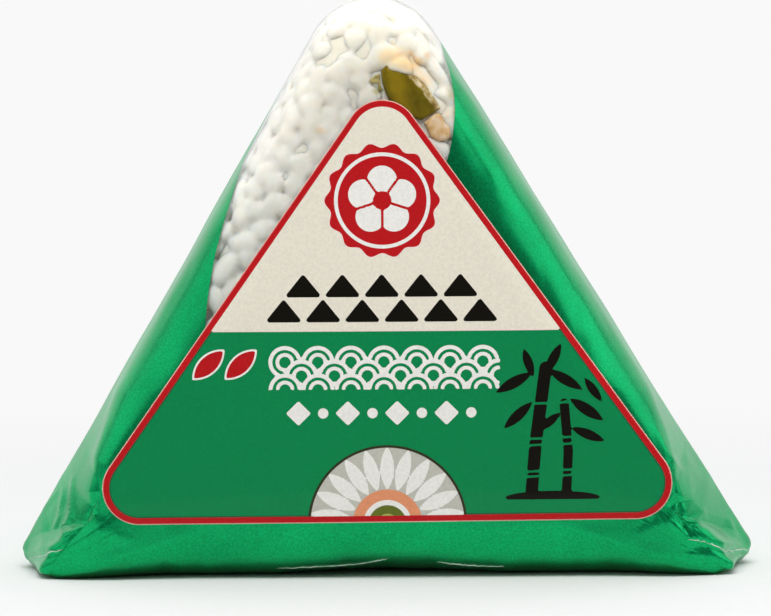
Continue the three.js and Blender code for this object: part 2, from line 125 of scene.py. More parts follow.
def soft_noise(points, size, seed):
    """Smooth noise between -1 and 1 at each point, with features about size wide."""
    cell = np.asarray(points, float) / size + 500.0
    low = np.floor(cell).astype(np.int64)
    part = smooth(cell - low)
    primes = np.array([73856093, 19349663, 83492791][: cell.shape[-1]])
    total = np.zeros(cell.shape[:-1])
    for corner in range(2 ** cell.shape[-1]):
        step = np.array([(corner >> axis) & 1 for axis in range(cell.shape[-1])])
        mixed = ((low + step) * primes).sum(-1) + seed * 7919
        mixed = (mixed ^ (mixed >> 13)) * 1274126177
        value = ((mixed ^ (mixed >> 16)) & 0xFFFF) / 32767.5 - 1
        total += value * np.prod(np.where(step == 1, part, 1 - part), axis=-1)
    return total


def spline(points, steps):
    """A smooth line through points."""
    ends = [points[0], *points, points[-1]]
    line = []
    for a, b, c, d in zip(ends, ends[1:], ends[2:], ends[3:]):
        a, b, c, d = (np.array(p, float) for p in (a, b, c, d))
        for t in np.arange(steps) / steps:
            bend = (2 * a - 5 * b + 4 * c - d) * t**2 + (3 * b - a - 3 * c + d) * t**3
            line.append(0.5 * (2 * b + (c - a) * t + bend))
    return [*line, np.array(points[-1], float)]


# ---- Shapes in a plane: each gives the distance inside its edge, negative outside ----


def off_side(x, z, start, end):
    """How far places lie from the line between two others, and how far along it, from 0 to 1."""
    (ax, az), (bx, bz) = start, end
    dx, dz = bx - ax, bz - az
    along = clamp01(((x - ax) * dx + (z - az) * dz) / (dx**2 + dz**2))
    return np.hypot(x - ax - along * dx, z - az - along * dz), along


def line_distance(x, z, line):
    """Distance from a line of points, and how far along it, from 0 to 1."""
    best = np.full(np.shape(x), np.inf)
    share = np.zeros(np.shape(x))
    for i, (start, end) in enumerate(zip(line, line[1:])):
        away, along = off_side(x, z, start, end)
        share = np.where(away < best, (i + along) / (len(line) - 1), share)
        best = np.minimum(best, away)
    return best, share


def polygon(x, z, corners, radius=0.0):
    """Distance inside a polygon whose corners are given, grown by radius with round corners."""
    corners = np.asarray(corners, float)
    nearest = np.full(np.shape(x), np.inf)
    inside = np.zeros(np.shape(x), bool)
    for (ax, az), (bx, bz) in zip(corners, np.roll(corners, -1, 0)):
        if (bx - ax) ** 2 + (bz - az) ** 2 < SAME_PLACE:
            continue
        nearest = np.minimum(nearest, off_side(x, z, (ax, az), (bx, bz))[0])
        if az != bz:
            inside ^= ((az > z) != (bz > z)) & (x < (bx - ax) * (z - az) / (bz - az) + ax)
    return np.where(inside, nearest, -nearest) + radius


def disc(x, z, cx, cz, radius):
    return radius - np.hypot(x - cx, z - cz)


def stroke(x, z, points, half_width):
    """Distance inside a line of round pen strokes through points."""
    return half_width - line_distance(x, z, points)[0]


def leaf(x, z, cx, cz, length, width, angle):
    """Distance inside a pointed leaf, the overlap of two discs."""
    u = (x - cx) * math.cos(angle) + (z - cz) * math.sin(angle)
    v = (z - cz) * math.cos(angle) - (x - cx) * math.sin(angle)
    radius = (length**2 + width**2) / (4 * width)
    offset = radius - width / 2
    return np.minimum(radius - np.hypot(u, v - offset), radius - np.hypot(u, v + offset))


def level_oval(x, z, cx, cz, half_length, half_width):
    return (1 - np.hypot((x - cx) / half_length, (z - cz) / half_width)) * half_width


# ---- The pack's skin ----


def incircle(corners):
    """Centre and radius of the circle that touches all three sides."""
    opposite = np.linalg.norm(np.roll(corners, -1, 0) - np.roll(corners, -2, 0), axis=1)
    centre = (corners * opposite[:, None]).sum(0) / opposite.sum()
    (ax, az), (bx, bz), (cx, cz) = corners
    double_area = abs((bx - ax) * (cz - az) - (cx - ax) * (bz - az))
    return centre, double_area / opposite.sum()


CENTRE, IN_RADIUS = incircle(CORNERS)


def spaced(length, fine, coarse, fine_start, fine_end, reach):
    """Distances along a side, closer together within reach of its fine ends."""
    s = np.linspace(0, length, 3000)
    start = s if fine_start else np.full(s.shape, np.inf)
    end = length - s if fine_end else np.full(s.shape, np.inf)
    spacing = mix(fine, coarse, smooth((np.minimum(start, end) - reach) / reach))
    count = np.concatenate([[0], np.cumsum(np.diff(s) / spacing[:-1])])
    steps = math.ceil(count[-1])
    return np.interp(np.arange(steps) / steps * count[-1], count, s)


def rim_outline(corners, radii, fine, coarse, arc_steps):
    """The rounded triangle, anticlockwise from the left tip: places, side (-1 on arcs) and distance from the tip."""
    rounds = []
    for i, corner in enumerate(corners):
        to_last = corners[i - 1] - corner
        to_next = corners[(i + 1) % 3] - corner
        to_last = to_last / np.linalg.norm(to_last)
        to_next = to_next / np.linalg.norm(to_next)
        half = math.acos(float(to_last @ to_next)) / 2
        inward = (to_last + to_next) / np.linalg.norm(to_last + to_next)
        centre = corner + inward * radii[i] / math.sin(half)
        tangent = radii[i] / math.tan(half)
        rounds.append((centre, corner + to_last * tangent, corner + to_next * tangent, math.pi - 2 * half))
    places, sides, from_tip = [], [], []
    for i, (centre, start, end, turn) in enumerate(rounds):
        for step in range(arc_steps[i]):
            angle = turn * step / arc_steps[i]
            arm = start - centre
            c, s = math.cos(angle), math.sin(angle)
            places.append(centre + (arm[0] * c - arm[1] * s, arm[0] * s + arm[1] * c))
            sides.append(-1)
            from_tip.append(np.inf if i == 2 else 0.0)
        after = rounds[(i + 1) % 3][1]
        length = np.linalg.norm(after - end)
        for along in spaced(length, fine, coarse, i != 2, i != 1, 17.0):
            places.append(mix(end, after, along / length))
            sides.append(i)
            from_tip.append([min(along, length - along), along, length - along][i])
    return np.array(places), np.array(sides), np.array(from_tip)


def pack_rim(places, sides, from_tip):
    """How far the rim stands out from the faces, and how softly it turns into them."""
    on_base = sides == 0
    turned = np.where((sides == -1) & (from_tip == 0), clamp01(places[:, 1] / (1.5 * TIP_RADIUS)), 1.0)
    base_wedge = TIP_BASE_WEDGE * (1 - clamp01(from_tip / BASE_WEDGE_LENGTH))
    base_roll = mix(TIP_BASE_ROLL, BASE_ROLL, smooth(from_tip / BASE_ROLL_FADE))
    side_wedge = mix(mix(TIP_BASE_WEDGE, TIP_WEDGE, turned), SIDE_CROWN, clamp01(from_tip / RIDGE_LENGTH))
    side_roll = mix(RIDGE_ROLL, SIDE_ROLL, smooth((from_tip - RIDGE_SHARP_LENGTH) / RIDGE_FADE))
    return np.where(on_base, base_wedge, side_wedge), np.where(on_base, base_roll, side_roll)


def even_depth(x, z):
    depth = HALF_DEPTH + FACE_CROWN * (1 - smooth(np.hypot(x - CENTRE[0], z - CENTRE[1]) / CROWN_REACH))
    for tip in CORNERS[:2]:
        away = np.hypot(x - tip[0], z - tip[1] - TIP_RADIUS)
        depth = depth - TIP_FALL * smooth(1 - away / TIP_FALL_REACH)
    return depth


def arch_lift(x, z, share):
    across = clamp01(1 - ((x - ARCH_X) / ARCH_HALF_WIDTH) ** 2)
    return ARCH_HEIGHT * across * share * clamp01(1 - z / ARCH_FADE)


def skin_grid(places, wedge, roll, steps, facing, inset=0.0):
    """Rows of places on a skin: step 0 is the rim's middle, 1 the roll's start, 2 its end and 3 the face's middle."""
    step = np.asarray(steps)[:, None]
    share = roll / HALF_DEPTH
    reach = IN_RADIUS - inset
    turned = clamp01(step - 1)
    outward = 1 - share * (1 - turned) ** 2
    inward = wedge * (1 - share * (1 - turned) ** 2) + roll * turned**2
    outward = np.where(step < 1, (1 - share) * step, outward)
    inward = np.where(step < 1, wedge * (1 - share) * step, inward)
    inward = np.where(step > 2, mix(wedge + roll, reach, step - 2), inward)
    x = mix(places[:, 0], CENTRE[0], inward / reach)
    z = mix(places[:, 1], CENTRE[1], inward / reach)
    depth = even_depth(x, z) - inset
    return np.stack([x, facing * outward * depth, z + arch_lift(x, z, outward)], axis=-1)


FINE_RIM = rim_outline(CORNERS, (TIP_RADIUS, TIP_RADIUS, APEX_RADIUS), 0.5, 1.0, (10, 10, 40))
RIM_ANGLE = np.arctan2(FINE_RIM[0][:, 1] - CENTRE[1], FINE_RIM[0][:, 0] - CENTRE[0])
RIM_ORDER = np.argsort(RIM_ANGLE)
RIM_AWAY = np.hypot(*(FINE_RIM[0] - CENTRE).T)[RIM_ORDER]
RIM_WEDGE, RIM_ROLL = (values[RIM_ORDER] for values in pack_rim(*FINE_RIM))
RIM_ANGLE = RIM_ANGLE[RIM_ORDER]


def film_depth(x, z):
    """How far in front of or behind the pack's middle its film lies, negative outside its outline."""
    angle = np.arctan2(z - CENTRE[1], x - CENTRE[0])
    around = {"xp": RIM_ANGLE, "period": 2 * math.pi}
    away = np.interp(angle, fp=RIM_AWAY, **around)
    wedge = np.interp(angle, fp=RIM_WEDGE, **around)
    roll = np.interp(angle, fp=RIM_ROLL, **around)
    inset = (1 - np.hypot(x - CENTRE[0], z - CENTRE[1]) / away) * IN_RADIUS
    share = roll / HALF_DEPTH
    square = np.maximum(roll - wedge * share, 1e-6)
    linear = 2 * wedge * share
    rest = wedge * (1 - share) - inset
    turned = (-linear + np.sqrt(np.maximum(linear**2 - 4 * square * rest, 0))) / (2 * square)
    outward = np.where(rest > 0, inset / np.maximum(wedge, 1e-6), 1 - share * (1 - clamp01(turned)) ** 2)
    return outward * even_depth(x, z)


def film_gap(points):
    """How far inside the film each point lies, and the way out to it."""
    x, y, z = points.T
    reach = 0.2
    slope_x = (film_depth(x + reach, z) - film_depth(x - reach, z)) / (2 * reach)
    slope_z = (film_depth(x, z + reach) - film_depth(x, z - reach)) / (2 * reach)
    steepness = np.sqrt(slope_x**2 + slope_z**2 + 1)
    outward = np.stack([-slope_x, np.where(y < 0, -1.0, 1.0), -slope_z], 1) / steepness[:, None]
    return (film_depth(x, z) - np.abs(y)) / steepness, outward


def press_inside(points, cover, rounds=3):
    """Moves points that lie within cover of the film, or outside it, straight in until they clear it."""
    for _ in range(rounds):
        gap, outward = film_gap(points)
        points = points - outward * np.maximum(cover - gap, 0)[:, None]
    return points


def press_flat(points, cover, softness):
    """Flattens what reaches the film softly against it, so that each grain keeps a slightly domed face."""
    gap, outward = film_gap(points)
    return points - outward * (softness * np.logaddexp(0, (cover - gap) / softness))[:, None]


# ---- Triangle meshes as arrays ----


def grid_faces(rows, count):
    """Triangles over rows of points that run all the way round."""
    row, i = np.meshgrid(np.arange(rows - 1), np.arange(count), indexing="ij")
    a = row * count + i
    b = row * count + (i + 1) % count
    c, d = b + count, a + count
    flip = ((row + i) % 2 == 0)[..., None]
    first = np.where(flip, np.stack([a, d, c], -1), np.stack([a, d, b], -1))
    second = np.where(flip, np.stack([a, c, b], -1), np.stack([b, d, c], -1))
    return np.concatenate([first.reshape(-1, 3), second.reshape(-1, 3)])


def sheet_faces(rows, count, turned=False):
    """Triangles over rows of points that stop at both ends, or the same sheet seen from its other side."""
    row, i = np.meshgrid(np.arange(rows - 1), np.arange(count - 1), indexing="ij")
    a = (row * count + i).ravel()
    b, d = (a + 1, a + count) if turned else (a + count, a + 1)
    c = a + count + 1
    return np.concatenate([np.stack([a, b, c], 1), np.stack([a, c, d], 1)])


def outward_faces(points, faces):
    """The faces, turned so that the body they close has its inside inside."""
    a, b, c = (points[faces[:, k]] for k in range(3))
    volume = np.einsum("ij,ij->i", a, np.cross(b, c)).sum()
    return faces if volume > 0 else faces[:, ::-1]


def closed_ends(points, count, depth):
    """Closes rows of count points round the pack with a pole at that depth in the middle of each face."""
    last = len(points) - count
    faces = [grid_faces(len(points) // count, count)]
    for pole, (facing, start) in enumerate(((-1, 0), (1, last)), len(points)):
        ring, after = start + np.arange(count), start + (np.arange(count) + 1) % count
        faces.append(np.stack([np.full(count, pole), *((ring, after) if facing < 0 else (after, ring))], 1))
    points = np.concatenate([points, [(CENTRE[0], facing * depth, CENTRE[1]) for facing in (-1, 1)]])
    return points, outward_faces(points, np.concatenate(faces))


def cut_along(points, faces, values, tags):
    """Cuts triangles where values change sign; returns points, faces, tags and which faces lie on the positive side."""
    values = np.where(np.abs(values) < CUT_CLEARANCE, CUT_CLEARANCE, values)
    over = values > 0
    count = over[faces].sum(1)
    whole = (count == 0) | (count == 3)
    crossed = faces[~whole]
    lone_side = count[~whole] == 1
    is_lone = over[crossed] == lone_side[:, None]
    turn = np.argmax(is_lone, axis=1)
    pick = (turn[:, None] + np.arange(3)) % 3
    crossed = np.take_along_axis(crossed, pick, 1)
    a, b, c = crossed.T
    ends = np.sort(np.concatenate([np.stack([a, b], 1), np.stack([a, c], 1)]), axis=1)
    edges, index = np.unique(ends, axis=0, return_inverse=True)
    index = index.reshape(-1) + len(points)
    low, high = edges.T
    share = (values[low] / (values[low] - values[high]))[:, None]
    fresh = points[low] * (1 - share) + points[high] * share
    ab, ac = index[: len(a)], index[len(a) :]
    new_faces = np.concatenate([
        faces[whole], np.stack([a, ab, ac], 1), np.stack([ab, b, c], 1), np.stack([ab, c, ac], 1),
    ])
    tag = tags[~whole]
    new_tags = np.concatenate([tags[whole], tag, tag, tag])
    side = np.concatenate([count[whole] == 3, lone_side, ~lone_side, ~lone_side])
    return np.concatenate([points, fresh]), new_faces, new_tags, side


def only(points, faces, *tags):
    """The points that the faces use, with the faces renumbered."""
    used, index = np.unique(faces, return_inverse=True)
    return points[used], index.reshape(faces.shape), *tags


def vertex_normals(points, faces):
    a, b, c = (points[faces[:, k]] for k in range(3))
    flat = np.cross(b - a, c - a)
    normals = np.zeros_like(points)
    for k in range(3):
        np.add.at(normals, faces[:, k], flat)
    return normals / np.maximum(np.linalg.norm(normals, axis=1), 1e-12)[:, None]


def new_piece(name, points, faces, materials, slots=None):
    """A shaded mesh object from points in millimetres."""
    mesh = bpy.data.meshes.new(name)
    mesh.vertices.add(len(points))
    mesh.vertices.foreach_set("co", (np.asarray(points) * MM).astype(np.float32).ravel())
    mesh.loops.add(faces.size)
    mesh.loops.foreach_set("vertex_index", faces.astype(np.int32).ravel())
    mesh.polygons.add(len(faces))
    mesh.polygons.foreach_set("loop_start", np.arange(0, faces.size, 3, dtype=np.int32))
    for material in materials:
        mesh.materials.append(material)
    if slots is not None:
        mesh.polygons.foreach_set("material_index", np.asarray(slots, np.int32))
    mesh.update(calc_edges=True)
    mesh.validate()
    mesh.shade_smooth()
    piece = bpy.data.objects.new(name, mesh)
    bpy.context.scene.collection.objects.link(piece)
    return piece


def sides(faces):
    """The three sides of each triangle in turn, in the triangle's own direction, and how many triangles share each."""
    directed = np.concatenate([faces[:, [0, 1]], faces[:, [1, 2]], faces[:, [2, 0]]])
    _, index, count = np.unique(np.sort(directed, axis=1), axis=0, return_inverse=True, return_counts=True)
    return directed, count[index.reshape(-1)]


def skirt(faces, offset):
    """Triangles from the open edges to the same points offset places further on, and the triangle each hangs from."""
    directed, shared = sides(faces)
    a, b = directed[shared == 1].T
    owner = np.tile(np.arange(len(faces)), 3)[shared == 1]
    hanging = np.concatenate([np.stack([b, a, a + offset], 1), np.stack([b, a + offset, b + offset], 1)])
    return hanging, np.concatenate([owner, owner])


def thicken(points, faces, thickness):
    """A closed sheet: the surface, a copy of it sunk by thickness, and a rim along its open edges."""
    sunk = points - vertex_normals(points, faces) * thickness
    rim, _ = skirt(faces, len(points))
    return np.concatenate([points, sunk]), np.concatenate([faces, faces[:, ::-1] + len(points), rim])


def skirted(points, faces, depth, tags):
    """A sheet with a rim along its open edges, sunk by depth, and no underside."""
    sunk = points - vertex_normals(points, faces) * depth
    rim, owner = skirt(faces, len(points))
    return only(np.concatenate([points, sunk]), np.concatenate([faces, rim]), np.concatenate([tags, tags[owner]]))


# ---- Node materials ----


class Finish:
    """A node material with a Principled shader, built up a node at a time."""

    def __init__(self, name):
        self.material = bpy.data.materials.new(name)
        self.material.use_nodes = True
        self.nodes = self.material.node_tree.nodes
        self.links = self.material.node_tree.links
        self.shader = self.nodes["Principled BSDF"]
        self.output = self.nodes["Material Output"]
        self.place = self.nodes.new("ShaderNodeTexCoord").outputs["Object"]

    def node(self, kind, inputs=None, **settings):
        node = self.nodes.new(kind)
        for key, value in settings.items():
            setattr(node, key, value)
        for key, value in (inputs or {}).items():
            self.put(node.inputs[key], value)
        return node

    def put(self, socket, value):
        if isinstance(value, bpy.types.NodeSocket):
            self.links.new(value, socket)
        elif hasattr(socket.default_value, "__len__") and len(value) == 3:
            size = len(socket.default_value)
            socket.default_value = (*value, 1.0)[:size]
        else:
            socket.default_value = value

    def set(self, **values):
        for key, value in values.items():
            self.put(self.shader.inputs[key.replace("_", " ")], value)

    def noise(self, feature_mm, detail=2.0, stretch=None):
        """Noise from 0 to 1 with features of about that size."""
        place = self.place
        if stretch is not None:
            place = self.node("ShaderNodeMapping", {"Vector": place, "Scale": stretch}).outputs["Vector"]
        inputs = {"Vector": place, "Scale": 1000.0 / feature_mm, "Detail": detail}
        return self.node("ShaderNodeTexNoise", inputs).outputs["Fac"]

    def ramp(self, value, stops):
        """Colours spread over a value, as a list of (position, colour)."""
        ramp = self.node("ShaderNodeValToRGB", {"Fac": value})
        elements = ramp.color_ramp.elements
        elements[0].position, elements[0].color = stops[0][0], (*stops[0][1], 1)
        elements[1].position, elements[1].color = stops[-1][0], (*stops[-1][1], 1)
        for position, colour in stops[1:-1]:
            elements.new(position).color = (*colour, 1)
        return ramp.outputs["Color"]

    def spread(self, value, low, high, from_low=0.3, from_high=0.7):
        """A value stretched onto another range."""
        inputs = {"Value": value, "From Min": from_low, "From Max": from_high, "To Min": low, "To Max": high}
        return self.node("ShaderNodeMapRange", inputs).outputs["Result"]

    def blend(self, share, first, second, kind="MIX"):
        inputs = {0: share, 6: first, 7: second}
        return self.node("ShaderNodeMix", inputs, data_type="RGBA", blend_type=kind).outputs[2]

    def bump(self, height, depth_mm, strength=1.0, under=None):
        inputs = {"Height": height, "Distance": depth_mm * MM, "Strength": strength}
        if under is not None:
            inputs["Normal"] = under
        return self.node("ShaderNodeBump", inputs).outputs["Normal"]


def shaded(colour, amount):
    """A colour made lighter or darker."""
    return tuple(min(1.0, part * amount) for part in colour[:3])


def tinted(colour, tint):
    return tuple(part * share for part, share in zip(colour, tint))


def printed_film_finish(colour):
    film = Finish("pearly_film")
    grain = film.noise(0.3, 3.0)
    cloud = film.noise(9.0, 2.0)
    tone = film.node("ShaderNodeMath", {0: grain, 1: 0.72}, operation="MULTIPLY").outputs[0]
    tone = film.node("ShaderNodeMath", {0: cloud, 1: 0.28, 2: tone}, operation="MULTIPLY_ADD").outputs[0]
    stops = [(0.34, shaded(colour, 0.78)), (0.5, shaded(colour, 1.0)), (0.66, shaded(colour, 1.26))]
    film.set(Base_Color=film.ramp(tone, stops), Metallic=0.98, Roughness=film.spread(grain, 0.29, 0.36))
    film.set(Coat_Weight=0.1, Coat_Roughness=0.1, Coat_IOR=1.45)
    film.set(Normal=film.bump(grain, 0.006, 0.5, film.bump(film.noise(2.6, 2.0), 0.02, 0.6)))
    return film.material


def clear_film_finish(colour):
    """Clear film: hazy only where it is seen edge on, with a thin gloss over all of it."""
    film = Finish("window_clear")
    film.set(Base_Color=colour, Roughness=0.12, Specular_IOR_Level=0.6)
    slack = film.bump(film.noise(3.5, 2.0), 0.05, 0.5)
    film.set(Normal=slack)
    edge = film.node("ShaderNodeLayerWeight", {"Blend": 0.32}).outputs["Facing"]
    haze = film.spread(edge, 0.0, 0.55, 0.15, 1.0)
    clear = film.node("ShaderNodeBsdfTransparent").outputs[0]
    gloss = film.node("ShaderNodeBsdfGlossy", {"Roughness": 0.07, "Normal": slack}).outputs[0]
    shine = film.node("ShaderNodeFresnel", {"IOR": 1.25, "Normal": slack}).outputs[0]
    sheet = film.node("ShaderNodeMixShader", {0: shine, 1: clear, 2: gloss}).outputs[0]
    seen = film.node("ShaderNodeMixShader", {0: haze, 1: sheet, 2: film.shader.outputs[0]}).outputs[0]
    lighting = film.node("ShaderNodeLightPath").outputs["Is Shadow Ray"]
    both = film.node("ShaderNodeMixShader", {0: lighting, 1: seen, 2: clear})
    film.links.new(both.outputs[0], film.output.inputs["Surface"])
    return film.material


def edge_and_highlight_finish():
    edge = Finish("edge_and_highlight")
    # Pale green: partly the film's own cut edge, partly a painted highlight.
    stops = [(0.3, (0.25, 0.5, 0.33)), (0.7, (0.7, 0.85, 0.74))]
    edge.set(Base_Color=edge.ramp(edge.noise(1.4), stops), Roughness=0.25)
    return edge.material


# Where the fillings have coloured the rice: place, reach and tint.
RICE_STAINS = [
    ((1.8, -16.0, 79.4), (3.4, 9.0, 2.1), (0.93, 0.72, 0.42)),
    ((4.2, -16.0, 78.3), (1.9, 9.0, 2.3), (0.9, 0.6, 0.27)),
    ((5.8, -16.0, 75.9), (2.1, 9.0, 1.7), (0.9, 0.68, 0.42)),
    ((6.6, -16.0, 79.6), (0.9, 8.0, 0.8), (0.72, 0.42, 0.15)),
    ((10.1, -15.5, 74.0), (0.9, 8.0, 1.6), (0.4, 0.37, 0.16)),
    ((-0.9, -16.0, 74.4), (1.0, 8.0, 0.9), (0.42, 0.41, 0.2)),
    ((9.4, -16.0, 71.0), (1.3, 8.0, 2.0), (0.86, 0.7, 0.5)),
    ((-9.6, -16.0, 68.5), (1.2, 8.0, 0.9), (0.8, 0.68, 0.5)),
]


def rice_finish(name, colour, depth_mm):
    """Cooked rice: darker and bluer low in the pack, which is painted shade, creamier above, and stained round the
    fillings.
    """
    rice = Finish(name)
    mottle = rice.noise(2.2, 3.0)
    height = rice.node("ShaderNodeSeparateXYZ", {0: rice.place}).outputs["Z"]
    # Low in the pack the rice is darkened and turned bluer as painted shade; higher up it turns creamier.
    low_painted_shade, creamy = tinted(colour, (0.86, 0.91, 0.91)), tinted(colour, (1.01, 0.985, 0.93))
    shade = rice.ramp(rice.spread(height, 0.0, 1.0, 0.036, 0.09), [(0.0, low_painted_shade), (0.5, tuple(colour)), (1.0, creamy)])
    mottled = rice.ramp(mottle, [(0.34, (0.95, 0.945, 0.93)), (0.7, (1.0, 1.0, 1.0))])
    shade = rice.blend(1.0, shade, mottled, "MULTIPLY")
    blotch = rice.noise(1.3, 2.0)
    for place, reach, tint in RICE_STAINS:
        centre, scale = [c * MM for c in place], [1 / (r * MM) for r in reach]
        arm = rice.node("ShaderNodeVectorMath", {0: rice.place, 1: centre}, operation="SUBTRACT").outputs[0]
        arm = rice.node("ShaderNodeVectorMath", {0: arm, 1: scale}, operation="MULTIPLY").outputs[0]
        away = rice.node("ShaderNodeVectorMath", {0: arm}, operation="LENGTH").outputs["Value"]
        uneven = rice.node("ShaderNodeMath", {0: blotch, 1: 1.1, 2: away}, operation="MULTIPLY_ADD").outputs[0]
        shade = rice.blend(rice.spread(uneven, 0.95, 0.0, 0.6, 1.6), shade, tint)
    rice.set(Base_Color=shade, Roughness=rice.spread(mottle, 0.3, 0.46))
    rice.set(Subsurface_Weight=1.0, Subsurface_Radius=(1.0, 0.85, 0.68), Subsurface_Scale=depth_mm * MM)
    rice.set(Coat_Weight=0.22, Coat_Roughness=0.12)
    rice.set(Normal=rice.bump(rice.noise(0.7, 2.0), 0.05, 0.5))
    return rice.material


def moist_finish(name, stops, feature_mm, stretch=None):
    """A moist food whose colour runs over its noise."""
    food = Finish(name)
    mottle = food.noise(feature_mm, 3.0, stretch)
    food.set(Base_Color=food.ramp(mottle, stops), Roughness=food.spread(mottle, 0.2, 0.4))
    food.set(Subsurface_Weight=0.5, Subsurface_Radius=(1.0, 0.7, 0.3), Subsurface_Scale=0.8 * MM)
    food.set(Specular_IOR_Level=0.2, Coat_Weight=0.15, Coat_Roughness=0.12)
    food.set(Normal=food.bump(food.noise(0.5, 2.0), 0.05, 0.6))
    return food.material


def ink_finish(name, colour):
    """Ink on glossy label paper, slightly mottled by the paper under it."""
    ink = Finish(name)
    fibre = ink.noise(0.45, 3.0)
    stops = [(0.35, shaded(colour, 0.95)), (0.65, shaded(colour, 1.04))]
    ink.set(Base_Color=ink.ramp(fibre, stops), Roughness=ink.spread(fibre, 0.3, 0.4))
    ink.set(Specular_IOR_Level=0.07, Coat_Weight=0.12, Coat_Roughness=0.05, Coat_IOR=1.45)
    ink.set(Normal=ink.bump(fibre, 0.004, 0.4, ink.bump(ink.noise(14.0, 1.0), 0.12, 0.6)))
    return ink.material


# ---- Relief of the film ----

# Creases: a line of (x, z), half width, height.
FRONT_CREASES = [
    ([(10.6, 71.1), (13.1, 67.2), (15.8, 62.8), (17.2, 59.6)], 0.55, 0.14),
    ([(9.8, 77.2), (12.4, 73.6), (14.2, 70.8)], 0.6, 0.14),
    ([(14.5, 67.6), (24.0, 52.0), (33.0, 37.0)], 1.6, 0.12),
    ([(-2.4, 9.0), (-1.2, 6.2), (0.2, 3.8)], 1.2, -0.22),
    ([(-49.4, 12.8), (-50.0, 8.9), (-51.2, 5.9)], 0.4, 0.34),
    ([(-48.0, 14.6), (-48.2, 9.2), (-49.2, 7.5), (-48.9, 6.0)], 0.4, 0.34),
    ([(-50.6, 12.0), (-53.0, 8.9)], 0.4, 0.28),
    ([(48.8, 7.0), (49.6, 6.4), (51.9, 4.4), (53.6, 3.1)], 0.45, 0.16),
    ([(46.6, 7.6), (47.3, 9.0), (48.0, 9.4), (48.5, 8.0)], 0.45, 0.16),
    ([(52.3, 5.3), (52.7, 6.9), (53.5, 4.7)], 0.4, 0.2),
    ([(40.8, 23.0), (42.6, 19.0), (45.2, 15.8)], 0.6, 0.25),
]
# The folded film by each tip: corners as (x, z, height), and lines that stay sharp, as runs of corners.
LEFT_FOLDS = [
    (-38, 6, 0), (-38, 3, 0), (-44, 1, 0), (-52, -1.5, 0), (-58, -1, 0), (-58.5, 4, 0), (-55.5, 9.5, 0), (-52, 18, 0),
    (-46, 19.5, 0), (-40.5, 16.5, 0), (-38.5, 10.5, 0),
    (-41.6, 9.2, 0.1), (-44.0, 8.1, 0.4), (-46.5, 6.6, 0.6), (-48.9, 4.9, 0.6),
    (-43.4, 13.6, -0.6), (-45.4, 11.4, -1.2), (-46.3, 9.2, -0.9), (-47.0, 7.4, -0.4),
    (-48.1, 13.6, 0.3), (-48.2, 9.3, 0.3), (-48.9, 6.3, 0.3),
    (-49.3, 11.0, -0.1), (-49.6, 14.0, 0.2), (-50.0, 8.9, 0.2), (-51.2, 5.9, 0.2), (-53.0, 8.9, 0.2),
    (-54.9, 2.1, 0.4), (-52.0, 3.9, 0.8), (-49.5, 4.75, 0.7), (-54.9, 1.7, -0.1), (-52.1, 3.45, -0.1),
    (-49.6, 4.3, 0.1), (-54.2, 0.3, 0.2), (-51.4, 2.4, 0.5), (-45.2, 3.6, 0.3),
]
LEFT_FOLD_LINES = [
    (11, 12, 13, 14), (11, 15, 16), (16, 17, 18, 14), (19, 20, 21), (23, 24, 25), (27, 28, 29), (30, 31, 32),
    (33, 34, 14),
]
RIGHT_FOLDS = [
    (37, 6.5, 0), (37, 3, 0), (44, 1, 0), (52, -1.5, 0), (58, -1, 0), (58.5, 4, 0), (55.5, 9.5, 0), (51.5, 17.5, 0),
    (46, 19.5, 0), (41.5, 16.5, 0), (39, 10.5, 0),
    (41.3, 9.5, 0.05), (42.7, 8.9, 0.3), (44.3, 7.8, 0.45), (45.9, 6.1, 0.4),
    (43.9, 13.0, -0.5), (44.9, 11.6, -0.9), (45.1, 8.9, -0.8), (45.6, 7.3, -0.5),
    (46.5, 11.5, 0.1), (46.5, 7.7, 0.15), (47.9, 9.3, 0.4), (48.4, 7.7, 0.15), (48.8, 6.9, 0.35),
    (51.0, 6.3, 0.05), (52.5, 6.9, 0.25), (53.2, 4.6, 0.2), (52.2, 5.1, 0.05), (51.9, 4.5, 0.3),
    (46.4, 5.75, 0.6), (48.7, 5.3, 0.8), (51.8, 3.95, 0.8), (53.2, 3.1, 0.6), (55.0, 2.2, 0.4),
    (46.6, 5.35, 0.1), (48.6, 4.9, -0.2), (51.7, 3.5, -0.5), (53.1, 2.7, -0.4), (54.9, 1.8, -0.1),
    (50.3, 3.0, 0.3), (53.0, 1.6, 0.3), (45.2, 3.6, 0.3),
]
RIGHT_FOLD_LINES = [
    (11, 12, 13, 14), (11, 15, 16, 17, 18, 14), (21, 20), (19, 21), (23, 28, 32), (25, 26), (29, 30, 31, 32, 33),
    (34, 35, 36, 37, 38), (39, 40),
]
# Cut edges of the film, drawn as pale ribbons: partly the film's own thin edge, partly a painted highlight where the
# edges catch the light.
FILM_EDGES_AND_HIGHLIGHTS = [
    [(-55.2, 1.7), (-52.0, 3.85), (-49.4, 4.72)],
    [(46.1, 5.85), (48.7, 5.28), (51.8, 3.92), (53.2, 3.08), (55.6, 2.1)],
    [(-17.0, 1.5), (-6.4, 1.9), (-2.6, 2.4), (0.2, 3.0)],
    [(7.6, 2.4), (12.0, 1.8), (18.0, 1.5)],
]


def crease_height(x, z, creases):
    height = np.zeros(np.shape(x))
    for line, half_width, rise in creases:
        away, share = line_distance(x, z, line)
        height += rise * clamp01(1 - away / (1.6 * half_width)) ** 1.5 * (1 - 0.5 * np.abs(2 * share - 1) ** 3)
    return height


